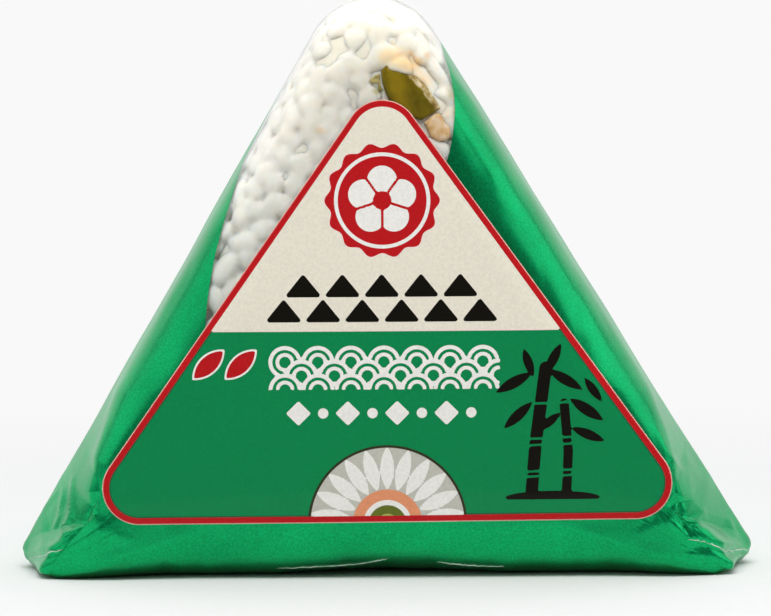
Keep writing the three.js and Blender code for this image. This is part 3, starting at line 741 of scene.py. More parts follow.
def fold_height(x, z, corners, lines):
    """Height of flat facets between corners, zero outside them."""
    edges = [pair for line in lines for pair in zip(line, line[1:])]
    places, _, triangles, origin, *_ = delaunay_2d_cdt([Vector(c[:2]) for c in corners], edges, [], 0, 1e-5)
    rise = [corners[ids[0]][2] if ids else 0.0 for ids in origin]
    height = np.zeros(np.shape(x))
    for i, j, k in triangles:
        (ax, az), (bx, bz), (cx, cz) = places[i], places[j], places[k]
        double_area = (bx - ax) * (cz - az) - (cx - ax) * (bz - az)
        u = ((bx - x) * (cz - z) - (cx - x) * (bz - z)) / double_area
        v = ((cx - x) * (az - z) - (ax - x) * (cz - z)) / double_area
        inside = (u >= 0) & (v >= 0) & (u + v <= 1)
        height = np.where(inside, u * rise[i] + v * rise[j] + (1 - u - v) * rise[k], height)
    return height


def label_shape(x, z, grow=0.0):
    """Distance inside the label's rounded triangle."""
    centre, radius = incircle(LABEL_CORNERS)
    inner = mix(centre, LABEL_CORNERS, 1 - LABEL_RADIUS / radius)
    return polygon(x, z, inner, LABEL_RADIUS + grow)


def film_relief(points):
    """How far real, slightly slack film stands in or out of the plain skin, by place."""
    x, y, z = points.T
    front = smooth(0.5 - y / 8)
    folds = crease_height(x, z, FRONT_CREASES) * front
    for across, share in ((x, front), (-x, smooth(0.5 + y / 8))):
        folds += share * fold_height(across, z, LEFT_FOLDS, LEFT_FOLD_LINES)
        folds += share * fold_height(across, z, RIGHT_FOLDS, RIGHT_FOLD_LINES)
    tip_away = np.minimum(np.hypot(x + 56, z - 3), np.hypot(x - 56, z - 3))
    crumpled = 0.1 * np.abs(soft_noise(points, 4.0, 7)) + 0.02 * np.abs(soft_noise(points, 1.6, 9)) - 0.05
    slack = 0.1 * soft_noise(points, 8.0, 3) + 0.03 * soft_noise(points, 3.2, 5)
    ripples = 0.16 * np.abs(soft_noise(points * (1.0, 1.0, 0.35), 4.5, 11)) - 0.05
    ripples *= smooth((np.abs(y) - 2) / 10) * (1 - 0.6 * smooth((z - 60) / 20))
    under_label = smooth(label_shape(x, z, 1.0) / 3) * front
    height = folds + crumpled * smooth(1 - tip_away / 12) + slack + ripples
    return height * (1 - under_label) * smooth(z / 1.2)


# ---- Settings that a user would change ----


class FilmSettings(bpy.types.PropertyGroup):
    printed: bpy.props.FloatVectorProperty(
        name="Printed film", description="Colour of the pearly printed film", subtype="COLOR", size=3,
        default=(0.004, 0.41, 0.13), min=0, max=1,
    )
    clear: bpy.props.FloatVectorProperty(
        name="Clear film", description="Tint of the clear film over the window", subtype="COLOR", size=3,
        default=(0.92, 0.93, 0.92), min=0, max=1,
    )
    fineness: bpy.props.FloatProperty(
        name="Fineness", description="Spacing of the film's points near its folded tips, in millimetres",
        default=0.27, min=0.15, max=2.0,
    )
    relief: bpy.props.FloatProperty(
        name="Relief", description="Strength of the film's creases and slackness", subtype="FACTOR",
        default=1.0, min=0, max=1.5,
    )


class RiceSettings(bpy.types.PropertyGroup):
    colour: bpy.props.FloatVectorProperty(
        name="Rice", description="Colour of the cooked grains", subtype="COLOR", size=3,
        default=(0.81, 0.8, 0.745), min=0, max=1,
    )
    length: bpy.props.FloatProperty(
        name="Grain length", description="Length of a cooked grain", unit="LENGTH",
        default=0.0057, min=0.004, max=0.008,
    )
    width: bpy.props.FloatProperty(
        name="Grain width", description="Width of a cooked grain", unit="LENGTH", default=0.0031, min=0.002, max=0.005,
    )
    seed: bpy.props.IntProperty(name="Seed", description="Changes how the grains lie", default=41, min=0)


class LabelSettings(bpy.types.PropertyGroup):
    paper: bpy.props.FloatVectorProperty(
        name="Paper", description="Cream of the upper field", subtype="COLOR", size=3,
        default=(0.76, 0.71, 0.6), min=0, max=1,
    )
    field: bpy.props.FloatVectorProperty(
        name="Field", description="Green of the lower field", subtype="COLOR", size=3,
        default=(0.003, 0.218, 0.068), min=0, max=1,
    )
    accent: bpy.props.FloatVectorProperty(
        name="Accent", description="Red of the border and the seal", subtype="COLOR", size=3,
        default=(0.46, 0.009, 0.012), min=0, max=1,
    )
    thickness: bpy.props.FloatProperty(
        name="Thickness", description="Thickness of the label", unit="LENGTH", default=0.00014, min=0.00005, max=0.0004,
    )


class StageSettings(bpy.types.PropertyGroup):
    floor: bpy.props.FloatVectorProperty(
        name="Floor", description="Colour of the floor and backdrop", subtype="COLOR", size=3,
        default=(0.625, 0.635, 0.63), min=0, max=1,
    )
    lens: bpy.props.FloatProperty(
        name="Lens", description="Focal length of the camera", subtype="DISTANCE_CAMERA",
        default=303.0, min=20, max=600,
    )
    elevation: bpy.props.FloatProperty(
        name="Elevation", description="How far the camera looks down", subtype="ANGLE",
        default=math.radians(5.5), min=0, max=1.5,
    )
    roll: bpy.props.FloatProperty(
        name="Roll", description="How far the camera leans", subtype="ANGLE",
        default=math.radians(0.38), min=-0.1, max=0.1,
    )


class PackSettings(bpy.types.PropertyGroup):
    film: bpy.props.PointerProperty(type=FilmSettings, name="Film", description="The film's settings")
    rice: bpy.props.PointerProperty(type=RiceSettings, name="Rice", description="The rice's settings")
    label: bpy.props.PointerProperty(type=LabelSettings, name="Label", description="The label's settings")
    stage: bpy.props.PointerProperty(type=StageSettings, name="Stage", description="The stage's settings")


# ---- Film ----


def window_field(points):
    """Distance inside the clear window, from the front's outline and the side's."""
    x, y, z = points.T
    outside = [
        (-WINDOW_OUTSIDE, WINDOW_LEFT_EDGE[-1][1]), (-WINDOW_OUTSIDE, WINDOW_TOP),
        (WINDOW_RIGHT, WINDOW_TOP), (WINDOW_RIGHT, WINDOW_RIGHT_EDGE[0][1]),
    ]
    front = [*spline(WINDOW_LEFT_EDGE, EDGE_STEPS), *outside, *spline(WINDOW_RIGHT_EDGE, EDGE_STEPS)]
    below = [(-CUT_REACH, 0), (WINDOW_SIDE_EDGE[0][0], 0)]
    above = [(CUT_REACH, WINDOW_SIDE_EDGE[-1][1]), (CUT_REACH, WINDOW_TOP), (-CUT_REACH, WINDOW_TOP)]
    side = [*below, *spline(WINDOW_SIDE_EDGE, EDGE_STEPS), *above]
    return np.minimum(polygon(x, z, front), polygon(y, z, side))


def film_mesh(fineness):
    """The whole skin of the pack as points and triangles, fine near the folded tips."""
    rim = rim_outline(CORNERS, (TIP_RADIUS, TIP_RADIUS, APEX_RADIUS), fineness, 0.75, (14, 14, 40))
    wedge, roll = pack_rim(*rim)
    near = np.concatenate([2.985 - 0.785 * np.linspace(0, 1, 8) ** 0.8, 2.19 - 0.19 * np.arange(22) / 22])
    far = np.concatenate([2.985 - 0.785 * np.linspace(0, 1, 6) ** 0.8, 2.18 - 0.18 * np.arange(10) / 10])
    front = np.concatenate([near, 2 - np.arange(28) / 28, 1 - np.arange(26) / 26])
    back = np.concatenate([far, 2 - np.arange(18) / 18, 1 - np.arange(16) / 16])[::-1]
    parts = ((front, -1), ([0.0], 1), (back, 1))
    grid = np.concatenate([skin_grid(rim[0], wedge, roll, steps, facing) for steps, facing in parts])
    return closed_ends(grid.reshape(-1, 3), grid.shape[1], even_depth(*CENTRE))


class ONIGIRI_OT_film(bpy.types.Operator):
    """Lays the printed film and the clear window film over the pack, with their folds and creases"""

    bl_idname = "onigiri.film"
    bl_label = "Film"

    def execute(self, context):
        settings = context.scene.onigiri_pack.film
        points, faces = film_mesh(settings.fineness)
        points, faces, _, clear = cut_along(points, faces, window_field(points), np.zeros(len(faces), int))
        normals = vertex_normals(points, faces)
        points = points + normals * (film_relief(points) * settings.relief)[:, None]
        printed = printed_film_finish(settings.printed)
        sheet = new_piece("printed_film", *only(points, faces[~clear]), [printed])
        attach(sheet, "root")
        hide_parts("wrapper")
        cover = clear_film_finish(settings.clear)
        window = new_piece("clear_window", *window_with_fin(*only(points, faces[clear])), [cover])
        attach(window, "root")
        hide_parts("window_film")
        # Pale ribbons along the cut edges, partly painted highlight.
        edges = new_piece("edge_and_highlights", *edge_and_highlight_ribbons(points, vertex_normals(points, faces)), [edge_and_highlight_finish()])
        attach(edges, "root")
        return {"FINISHED"}


def edge_and_highlight_ribbons(points, normals):
    """Narrow pale ribbons on the front of the film along its cut edges: partly the edge itself, partly a painted
    highlight.
    """
    front = points[:, 1] < 0
    points, normals = points[front], normals[front]
    all_points, all_faces = [], []
    for line in FILM_EDGES_AND_HIGHLIGHTS:
        spine = []
        for x, z in spline(line, 14):
            nearest = np.argsort((points[:, 0] - x) ** 2 + (points[:, 2] - z) ** 2)[:6]
            spine.append((points[nearest] + normals[nearest] * 0.12).mean(0))
        spine = np.array(spine)
        along = np.gradient(spine, axis=0)
        across = np.cross(along, (0, -1, 0))
        across /= np.linalg.norm(across, axis=1, keepdims=True)
        width = 0.09 * np.sqrt(clamp01(np.minimum(np.arange(len(spine)), np.arange(len(spine))[::-1]) / 8))[:, None]
        start = sum(len(p) for p in all_points)
        i = np.arange(len(spine) - 1) * 2 + start
        all_points.append(np.stack([spine - across * width, spine + across * width], 1).reshape(-1, 3))
        all_faces += [np.stack([i, i + 1, i + 3], 1), np.stack([i, i + 3, i + 2], 1)]
    return np.concatenate(all_points), np.concatenate(all_faces)


FIN_ENDS = (-5.6, -2.4)
FIN_COLUMNS = 12
FIN_ROWS = 7


def window_with_fin(points, faces):
    """The window film with the small pinched fin that stands on the apex."""
    _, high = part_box("window_film")
    top = high.z / MM
    u, v = np.meshgrid(np.linspace(*FIN_ENDS, FIN_COLUMNS), np.linspace(0, 1, FIN_ROWS), indexing="ij")
    foot = top - 2.4 - 0.06 * (u + 1.8) ** 2
    height = mix(foot, top - 0.25 - 0.25 * np.sin(u * 2.1) ** 2, v)
    wave = 0.3 * np.sin(u * 2.4) * v
    fin = np.stack([u, wave, height], -1).reshape(-1, 3)
    fin_faces = sheet_faces(FIN_COLUMNS, FIN_ROWS) + len(points)
    return np.concatenate([points, fin]), np.concatenate([faces, fin_faces])


SEAM_X = 1.5
SEAM_HALF_WIDTH = 4.5
SEAM_TOP = 73.0
SEAM_FOOT = 6.0
SEAM_LIFT = 0.34
SEAM_THICKNESS = 0.18
SEAM_COLUMNS = 46
SEAM_ROWS = 240


class ONIGIRI_OT_back_seam(bpy.types.Operator):
    """Lays the lap seam of the film down the back"""

    bl_idname = "onigiri.back_seam"
    bl_label = "Back seam"

    def execute(self, context):
        across = np.linspace(-SEAM_HALF_WIDTH, SEAM_HALF_WIDTH, SEAM_COLUMNS)
        u, z = np.meshgrid(across, np.linspace(SEAM_TOP, SEAM_FOOT, SEAM_ROWS), indexing="ij")
        drift = 0.25 * np.sin(z / 9.0) + 0.12 * np.sin(z / 3.1 + 1)
        x = SEAM_X + u * (1 - 0.02 * np.sin(z / 7.0)) + drift * 0.8
        flat = np.stack([x, np.zeros_like(x), z], -1)
        crimp = 0.05 * np.sin(u * 9.0) * smooth((3.1 - np.abs(u)) / 0.6)
        sunk = 0.16 * smooth(np.abs(u) - 3.4)
        lift = SEAM_LIFT + crimp + 0.06 * soft_noise(flat, 4.0, 21) - sunk
        points = np.stack([x, film_depth(x, z) + lift, z], -1).reshape(-1, 3)
        faces = sheet_faces(SEAM_COLUMNS, SEAM_ROWS, turned=True)
        if vertex_normals(points, faces)[:, 1].mean() < 0:
            faces = faces[:, ::-1]
        points, faces = thicken(points, faces, SEAM_THICKNESS)
        seam = new_piece("back_seam_film", points, faces, [bpy.data.materials["pearly_film"]])
        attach(seam, "root")
        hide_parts("back_seam")
        return {"FINISHED"}


# ---- Label ----

DIVISION = 38.2
SEAL_CENTRE = (-0.4, 57.9)
FAN_CENTRE = (0.1, 8.6)
PRINT_PITCH = 0.3
LABEL_LIFT = 0.42


def waves(x, z, left, right, foot, top):
    """Rows of overlapping wave scales."""
    pitch = 5.0
    field = np.full(np.shape(x), OUTSIDE)
    for row in reversed(range(3)):
        level = foot + row * 2.1
        cx = left + pitch / 2 * (1 + row % 2)
        while cx < right:
            away = np.hypot(x - cx, z - level)
            rings = np.maximum(0.3 - np.abs(away - 2.2), 0.28 - np.abs(away - 1.15))
            field = np.maximum(np.minimum(field, away - 2.5), np.minimum(2.5 - away, rings))
            cx += pitch
    frame_field = np.minimum(np.minimum(x - left, right - x), np.minimum(z - foot, top - z))
    return np.minimum(field, frame_field)


def blossom(x, z, cx, cz, size):
    """Five round petals about a middle."""
    petals = np.full(np.shape(x), OUTSIDE)
    for k in range(5):
        angle = math.pi / 2 + 0.4 * math.pi * k
        petal = disc(x, z, cx + 0.56 * size * math.cos(angle), cz + 0.56 * size * math.sin(angle), 0.42 * size)
        petals = np.maximum(petals, petal)
    for k in range(5):
        angle = -math.pi / 2 + 0.4 * math.pi * k
        end = (cx + size * math.cos(angle), cz + size * math.sin(angle))
        petals = np.minimum(petals, -stroke(x, z, [(cx, cz), end], 0.2))
    return np.minimum(petals, -disc(x, z, cx, cz, 0.26 * size))


def scales(x, z, left, right, foot, top):
    """Two rows of small triangles that stand on one another like fish scales."""
    field = np.full(np.shape(x), OUTSIDE)
    height = (top - foot) / 2
    count = 6
    pitch = (right - left) / count
    for row in range(2):
        for k in range(count - row):
            start = left + (k + 0.5 * row) * pitch
            low = foot + row * height
            peak = (start + pitch / 2, low + height - 0.55)
            corners = [(start + 0.75, low + 0.5), (start + pitch - 0.75, low + 0.5), peak]
            field = np.maximum(field, polygon(x, z, corners, 0.32))
    return field


def diamonds(x, z, left, right, level, half):
    field = np.full(np.shape(x), OUTSIDE)
    count = 8
    for k in range(count):
        cx = mix(left + half, right - half, k / (count - 1))
        shape = (half - np.abs(x - cx) - np.abs(z - level)) * 0.707
        if k % 2:
            shape = disc(x, z, cx, level, half * 0.42)
        field = np.maximum(field, shape)
    return field


def bamboo(x, z):
    """Two bamboo canes with leaves."""
    canes = np.maximum(
        stroke(x, z, [(22.0, 12.6), (22.6, 20.0), (24.2, 31.8)], 0.95),
        stroke(x, z, [(27.3, 12.6), (27.6, 19.0), (27.0, 26.4)], 0.72),
    )
    for cx, level in ((22.1, 16.0), (22.6, 21.0), (23.6, 26.4), (27.4, 15.4), (27.5, 20.2)):
        canes = np.minimum(canes, np.abs(z - level - 0.04 * (x - cx)) - 0.18)
    leaves = [
        (19.4, 29.6, 6.4, 1.7, 0.5), (27.2, 30.0, 6.2, 1.6, 2.6), (20.0, 24.6, 6.0, 1.6, 0.75),
        (25.4, 33.2, 5.2, 1.5, 1.1), (30.4, 25.4, 6.2, 1.7, 2.55), (30.6, 21.6, 5.6, 1.5, 2.75),
        (24.8, 23.6, 4.2, 1.3, 0.7), (21.6, 32.6, 4.6, 1.4, 1.9), (31.4, 28.4, 4.6, 1.3, 2.2),
    ]
    for cx, cz, length, width, angle in leaves:
        canes = np.maximum(canes, leaf(x, z, cx, cz, length, width, angle))
    return np.maximum(canes, np.minimum(level_oval(x, z, 25.2, 12.0, 7.2, 1.0), z - 11.7))


def fan_rays(x, z, cx, cz, inner, outer, count):
    """Leaf-shaped rays that fan out over a half disc."""
    rays = np.full(np.shape(x), OUTSIDE)
    middle = (inner + outer) / 2
    for k in range(count):
        angle = math.pi * (k + 0.5) / count
        place = (cx + middle * math.cos(angle), cz + middle * math.sin(angle))
        rays = np.maximum(rays, leaf(x, z, *place, outer - inner, 2.1, angle))
    return rays


def label_print(x, z):
    """The layers of print from the bottom up: a field that is positive inside the layer, and its ink."""
    edge = label_shape(x, z)
    fan = disc(x, z, *FAN_CENTRE, 12.1)
    seal_x, seal_z = x - SEAL_CENTRE[0], z - SEAL_CENTRE[1]
    from_seal = np.hypot(seal_x, seal_z)
    seal = 8.35 + 0.38 * np.cos(14 * np.arctan2(seal_z, seal_x)) - from_seal
    leaf_pair = np.maximum(leaf(x, z, -26.9, 33.1, 6.0, 2.5, 0.75), leaf(x, z, -22.0, 33.1, 6.0, 2.5, 0.75))
    return [
        (DIVISION - z, "field"),
        (0.14 - np.abs(z - DIVISION), "rim"),
        (np.minimum(1.26 - edge, DIVISION - z), "edge_line"),
        (1.03 - edge, "accent"),
        (0.14 - edge, "edge_pale"),
        (seal + 0.2, "rim"),
        (seal, "accent"),
        (0.28 - np.abs(from_seal - 7.0), "white"),
        (blossom(x, z, *SEAL_CENTRE, 5.4), "white"),
        (scales(x, z, -18.4, 17.3, 39.3, 46.9), "black"),
        (waves(x, z, -17.8, 17.3, 29.2, 36.0), "white"),
        (diamonds(x, z, -15.2, 14.8, 25.6, 1.9), "white"),
        (leaf_pair + 0.28, "white"),
        (leaf_pair, "accent"),
        (bamboo(x, z - 0.5), "black"),
        (fan, "olive_dark"),
        (fan - 0.4, "shade"),
        (np.minimum(fan_rays(x, z, *FAN_CENTRE, 5.2, 11.9, 11), fan - 0.4), "white"),
        (disc(x, z, *FAN_CENTRE, 5.3), "salmon_ink"),
        (disc(x, z, *FAN_CENTRE, 3.7), "white"),
        (disc(x, z, *FAN_CENTRE, 2.9), "olive"),
        (disc(x, z, *FAN_CENTRE, 1.6), "olive_light"),
        (1.03 - edge, "accent"),
        (0.14 - edge, "edge_pale"),
    ]


class ONIGIRI_OT_label(bpy.types.Operator):
    """Sticks the printed label on the front, each ink as its own area of the sheet"""

    bl_idname = "onigiri.label"
    bl_label = "Label"

    def execute(self, context):
        settings = context.scene.onigiri_pack.label
        inks = {
            "paper": tuple(settings.paper),
            "field": tuple(settings.field),
            "accent": tuple(settings.accent),
            "rim": (0.82, 0.68, 0.62),
            "edge_pale": (0.7, 0.4, 0.34),
            "edge_line": (0.02, 0.1, 0.045),
            "white": (0.8, 0.78, 0.74),
            "black": (0.006, 0.005, 0.003),
            "shade": (0.5, 0.49, 0.43),
            "salmon_ink": (0.72, 0.28, 0.14),
            "olive": (0.12, 0.15, 0.02),
            "olive_light": (0.36, 0.38, 0.1),
            "olive_dark": (0.03, 0.035, 0.015),
        }
        names = list(inks)
        xs = np.arange(-49.5, 50.6, PRINT_PITCH)
        zs = np.arange(7.4, 77.4, PRINT_PITCH)
        gx, gz = np.meshgrid(xs, zs, indexing="ij")
        flat = np.stack([gx.ravel(), gz.ravel()], 1)
        row, i = np.meshgrid(np.arange(len(xs) - 1), np.arange(len(zs) - 1), indexing="ij")
        a = (row * len(zs) + i).ravel()
        b, c, d = a + len(zs), a + len(zs) + 1, a + 1
        odd = ((row + i) % 2 == 1).ravel()[:, None]
        first = np.where(odd, np.stack([a, b, c], 1), np.stack([a, b, d], 1))
        second = np.where(odd, np.stack([a, c, d], 1), np.stack([b, c, d], 1))
        faces = np.concatenate([first, second])
        tags = np.zeros(len(faces), int)
        near = (label_shape(*flat.T) > -1.2)[faces].any(1)
        flat, faces, tags = only(flat, faces[near], tags[near])
        flat, faces, tags, inside = cut_along(flat, faces, label_shape(*flat.T), tags)
        flat, faces, tags = only(flat, faces[inside], tags[inside])
        for layer in range(len(label_print(*flat[:3].T))):
            field, ink = label_print(*flat.T)[layer]
            flat, faces, tags, inside = cut_along(flat, faces, field, tags)
            tags[inside] = names.index(ink)
        x, z = flat.T
        slack = 0.05 * soft_noise(np.stack([x, 0 * x, z], 1), 11.0, 31)
        points = np.stack([x, -(film_depth(x, z) + LABEL_LIFT + slack), z], 1)
        if vertex_normals(points, faces)[:, 1].mean() > 0:
            faces = faces[:, ::-1]
        points, faces, tags = skirted(points, faces, settings.thickness / MM, tags)
        materials = [ink_finish("ink_" + name, colour) for name, colour in inks.items()]
        sticker = new_piece("front_label", points, faces, materials, tags)
        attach(sticker, "root")
        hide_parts("label")
        return {"FINISHED"}


# ---- Rice ----

FILM_COVER = 0.16
CORE_INSET = 1.45
VOXEL = 0.35
BROKEN_SHARE = 0.35
NEIGHBOURS = 140
PUSH = 0.35


def rice_skin(inset, tip_radius, roll, steps, spacing):
    """Rows of points over the rice, set in from the film."""
    scale = 1 - inset / IN_RADIUS
    corners = mix(CENTRE, CORNERS, scale)
    radii = (tip_radius, tip_radius, APEX_RADIUS - inset)
    places, _, _ = rim_outline(corners, radii, spacing, spacing, (8, 8, 20))
    wedge = np.full(len(places), SIDE_CROWN)
    rolls = np.full(len(places), roll)
    front = skin_grid(places, wedge, rolls, steps, -1, inset)
    back = skin_grid(places, wedge, rolls, steps[::-1][1:], 1, inset)
    return np.concatenate([front, back])


def grid_normals(grid):
    along = np.roll(grid, -1, 1) - np.roll(grid, 1, 1)
    down = np.gradient(grid, axis=0)
    normals = np.cross(down, along)
    return normals / np.maximum(np.linalg.norm(normals, axis=-1, keepdims=True), 1e-9)


def scattered(points, spacing, rng):
    """The indices of points at least spacing apart, in random order."""
    chosen = []
    kept = np.zeros((0, 3))
    for index in rng.permutation(len(points)):
        if len(kept) == 0 or np.min(((kept - points[index]) ** 2).sum(1)) > spacing**2:
            chosen.append(index)
            kept = np.concatenate([kept, points[index : index + 1]])
    return np.array(chosen)


def side_gap(points):
    """How far the rice stands back from the slack film down the left side."""
    _, outward = film_gap(points)
    sideways = smooth((-outward[:, 0] - 0.45) / 0.35) * smooth((84 - points[:, 2]) / 12)
    return (1.0 + 0.9 * soft_noise(points, 6.0, 57)) * sideways


def settle(centres, axes, radius, arm, rounds, cover):
    """Pushes grains apart, each as three balls on a line, while the film holds them in."""
    balls = np.array([-1.0, 0.0, 1.0])
    for _ in range(rounds):
        places = centres[:, None, :] + balls[None, :, None] * axes[:, None, :] * arm
        spots = places.reshape(-1, 3)
        owner = np.repeat(np.arange(len(centres)), 3)
        move = np.zeros_like(spots)
        order = np.argsort(spots[:, 2])
        for offset in range(1, NEIGHBOURS):
            first, second = order[:-offset], order[offset:]
            gap = spots[second] - spots[first]
            close = (gap[:, 2] < 2 * radius) & (owner[first] != owner[second])
            if not close.any():
                continue
            first, second, gap = first[close], second[close], gap[close]
            away = np.maximum(np.linalg.norm(gap, axis=1), 1e-6)
            overlap = np.maximum(2 * radius - away, 0) * PUSH
            push = gap / away[:, None] * overlap[:, None]
            np.add.at(move, first, -push)
            np.add.at(move, second, push)
        depth = cover + radius * mix(0.95, 0.65, smooth((spots[:, 2] - 40) / 30)) + side_gap(spots)
        spots = press_inside(spots + move, depth, 1)
        places = spots.reshape(-1, 3, 3)
        centres = places.mean(1)
        axes = places[:, 2] - places[:, 0]
        axes /= np.linalg.norm(axes, axis=1, keepdims=True)
    return centres, axes


class ONIGIRI_OT_rice(bpy.types.Operator):
    """Packs separate rice grains against the film over a core of pressed rice"""

    bl_idname = "onigiri.rice"
    bl_label = "Rice"

    def execute(self, context):
        settings = context.scene.onigiri_pack.rice
        rng = np.random.default_rng(settings.seed)
        length, width = settings.length / MM, settings.width / MM
        steps = np.concatenate([np.linspace(2.9, 2, 24), np.linspace(1.95, 1, 18), np.linspace(0.93, 0, 14)])
        centres, axes = [], []
        for inset, spacing, margin in ((1.7, 2.75, 3.5), (3.5, 3.0, 4.5)):
            grid = rice_skin(inset, 11.0, 9.0, steps, 0.8)
            normals = grid_normals(grid).reshape(-1, 3)
            points = grid.reshape(-1, 3)
            shown = window_field(points) > -margin
            points, normals = points[shown], normals[shown]
            for index in scattered(points, spacing, rng):
                side = rng.normal(size=3)
                tangent = side - normals[index] * (side @ normals[index])
                tilt = rng.normal() * 0.35
                axis = tangent / np.linalg.norm(tangent) * math.cos(tilt) + normals[index] * math.sin(tilt)
                centres.append(points[index])
                axes.append(axis)
        centres, axes = settle(np.array(centres), np.array(axes), width * 0.4, length * 0.22, 30, FILM_COVER)
        unit, unit_faces = grain_points(2)
        keep = topping_fields(centres) < 0.2
        points, faces = [], []
        for centre, axis in zip(centres[keep], axes[keep]):
            points.append(one_grain(unit, centre, axis, length, width, rng))
            faces.append(unit_faces + len(unit) * len(faces))
        points = press_inside(press_flat(np.concatenate(points), FILM_COVER, 0.34), FILM_COVER)
        points, faces = without_specks(*fused(points, np.concatenate(faces), VOXEL))
        points = melted(points, faces)
        points = press_inside(points, under_fillings(points))
        grains = new_piece("rice_grains", points, faces, [rice_finish("rice_grain", settings.colour, 1.5)])
        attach(grains, "root")
        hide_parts("rice")
        core = rice_core(settings.colour)
        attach(core, "root")
        return {"FINISHED"}


def grain_points(subdivisions):
    """A round ball of small triangles to shape grains from."""
    points = np.array([
        (0, 0, 1), (0.894, 0, 0.447), (0.276, 0.851, 0.447), (-0.724, 0.526, 0.447),
        (-0.724, -0.526, 0.447), (0.276, -0.851, 0.447), (0.724, 0.526, -0.447), (-0.276, 0.851, -0.447),
        (-0.894, 0, -0.447), (-0.276, -0.851, -0.447), (0.724, -0.526, -0.447), (0, 0, -1),
    ])
    faces = np.array([
        (0, 1, 2), (0, 2, 3), (0, 3, 4), (0, 4, 5), (0, 5, 1), (1, 6, 2), (2, 7, 3), (3, 8, 4), (4, 9, 5), (5, 10, 1),
        (6, 7, 2), (7, 8, 3), (8, 9, 4), (9, 10, 5), (10, 6, 1), (11, 7, 6), (11, 8, 7), (11, 9, 8), (11, 10, 9),
        (11, 6, 10),
    ])
    for _ in range(subdivisions):
        edges = np.sort(np.concatenate([faces[:, [0, 1]], faces[:, [1, 2]], faces[:, [2, 0]]]), axis=1)
        unique, index = np.unique(edges, axis=0, return_inverse=True)
        index = index.reshape(3, -1) + len(points)
        middle = points[unique].mean(1)
        points = np.concatenate([points, middle])
        a, b, c = faces.T
        ab, bc, ca = index
        faces = np.concatenate([
            np.stack([a, ab, ca], 1), np.stack([ab, b, bc], 1), np.stack([ca, bc, c], 1), np.stack([ab, bc, ca], 1),
        ])
        points /= np.linalg.norm(points, axis=1, keepdims=True)
    return points, faces


def one_grain(unit, centre, axis, length, width, rng):
    """A cooked grain: a stubby oval, fuller at one end, often broken short, with a soft dent or two."""
    broken = rng.uniform() < BROKEN_SHARE
    long = rng.uniform(0.68, 0.86) if broken else rng.uniform(0.94, 1.14)
    size = np.array([long, rng.uniform(1.06, 1.26), rng.uniform(1.0, 1.16)])
    blocky = 1 / (np.abs(unit) ** 2.5).sum(1) ** (1 / 2.5)
    u, v, w = (unit * blocky[:, None]).T
    fuller = 1 + rng.uniform(0.02, 0.16) * u
    shape = np.stack([u * length / 2 * size[0], v * width / 2 * size[1] * fuller, w * width / 2 * size[2] * fuller], 1)
    for _ in range(2):
        spot = rng.normal(size=3)
        spot /= np.linalg.norm(spot)
        shape -= unit * (np.exp(-((unit - spot) ** 2).sum(1) / 0.3) * rng.uniform(0.1, 0.4))[:, None]
    shape += unit * 0.2 * soft_noise(unit * 1.6 + rng.uniform(0, 90, 3), 1.0, 17)[:, None]
    shape[:, 1] += rng.uniform(-0.16, 0.16) * (shape[:, 0] / 2) ** 2
    side = np.cross(axis, rng.normal(size=3))
    side /= np.linalg.norm(side)
    turn = np.stack([axis, side, np.cross(axis, side)])
    return shape @ turn + centre


def fused(points, faces, voxel):
    """The grains stuck together where they touch, as one surface."""
    loose = new_piece("loose_grains", points, faces, [])
    remesh = loose.modifiers.new("Fuse", "REMESH")
    remesh.mode = "VOXEL"
    remesh.voxel_size = voxel * MM
    whole = loose.evaluated_get(bpy.context.evaluated_depsgraph_get()).to_mesh()
    whole.calc_loop_triangles()
    places = np.empty(len(whole.vertices) * 3, np.float32)
    corners = np.empty(len(whole.loop_triangles) * 3, np.int32)
    whole.vertices.foreach_get("co", places)
    whole.loop_triangles.foreach_get("vertices", corners)
    bpy.data.objects.remove(loose)
    return places.reshape(-1, 3).astype(float) / MM, corners.reshape(-1, 3)


def without_specks(points, faces, smallest=200):
    """Drops the loose specks that fusing leaves, and keeps every shell of at least that many points."""
    ends = sides(faces)[0].T
    shell = np.arange(len(points))
    while True:
        joined = shell.copy()
        low = np.minimum(*shell[ends])
        for end in ends:
            np.minimum.at(joined, shell[end], low)
        while (joined != joined[joined]).any():
            joined = joined[joined]
        joined = joined[shell]
        if (joined == shell).all():
            break
        shell = joined
    return only(points, faces[np.bincount(shell)[shell[faces[:, 0]]] >= smallest])


def upper_share(points):
    """0 low in the window, where grains lie loose, to 1 towards the apex, where they are pressed to a paste."""
    return smooth((points[:, 2] + 0.5 * points[:, 0] - 34) / 30)


def melted(points, faces):
    """Smooths the fused grains, most of all towards the apex."""
    edges = np.unique(np.sort(sides(faces)[0], axis=1), axis=0)
    count = np.bincount(edges.ravel(), minlength=len(points))[:, None]
    melt = mix(0.08, 1.0, upper_share(points))[:, None]
    for _ in range(3):
        total = np.zeros_like(points)
        np.add.at(total, edges[:, 0], points[edges[:, 1]])
        np.add.at(total, edges[:, 1], points[edges[:, 0]])
        points = mix(points, total / count, 0.5 * melt)
    return points


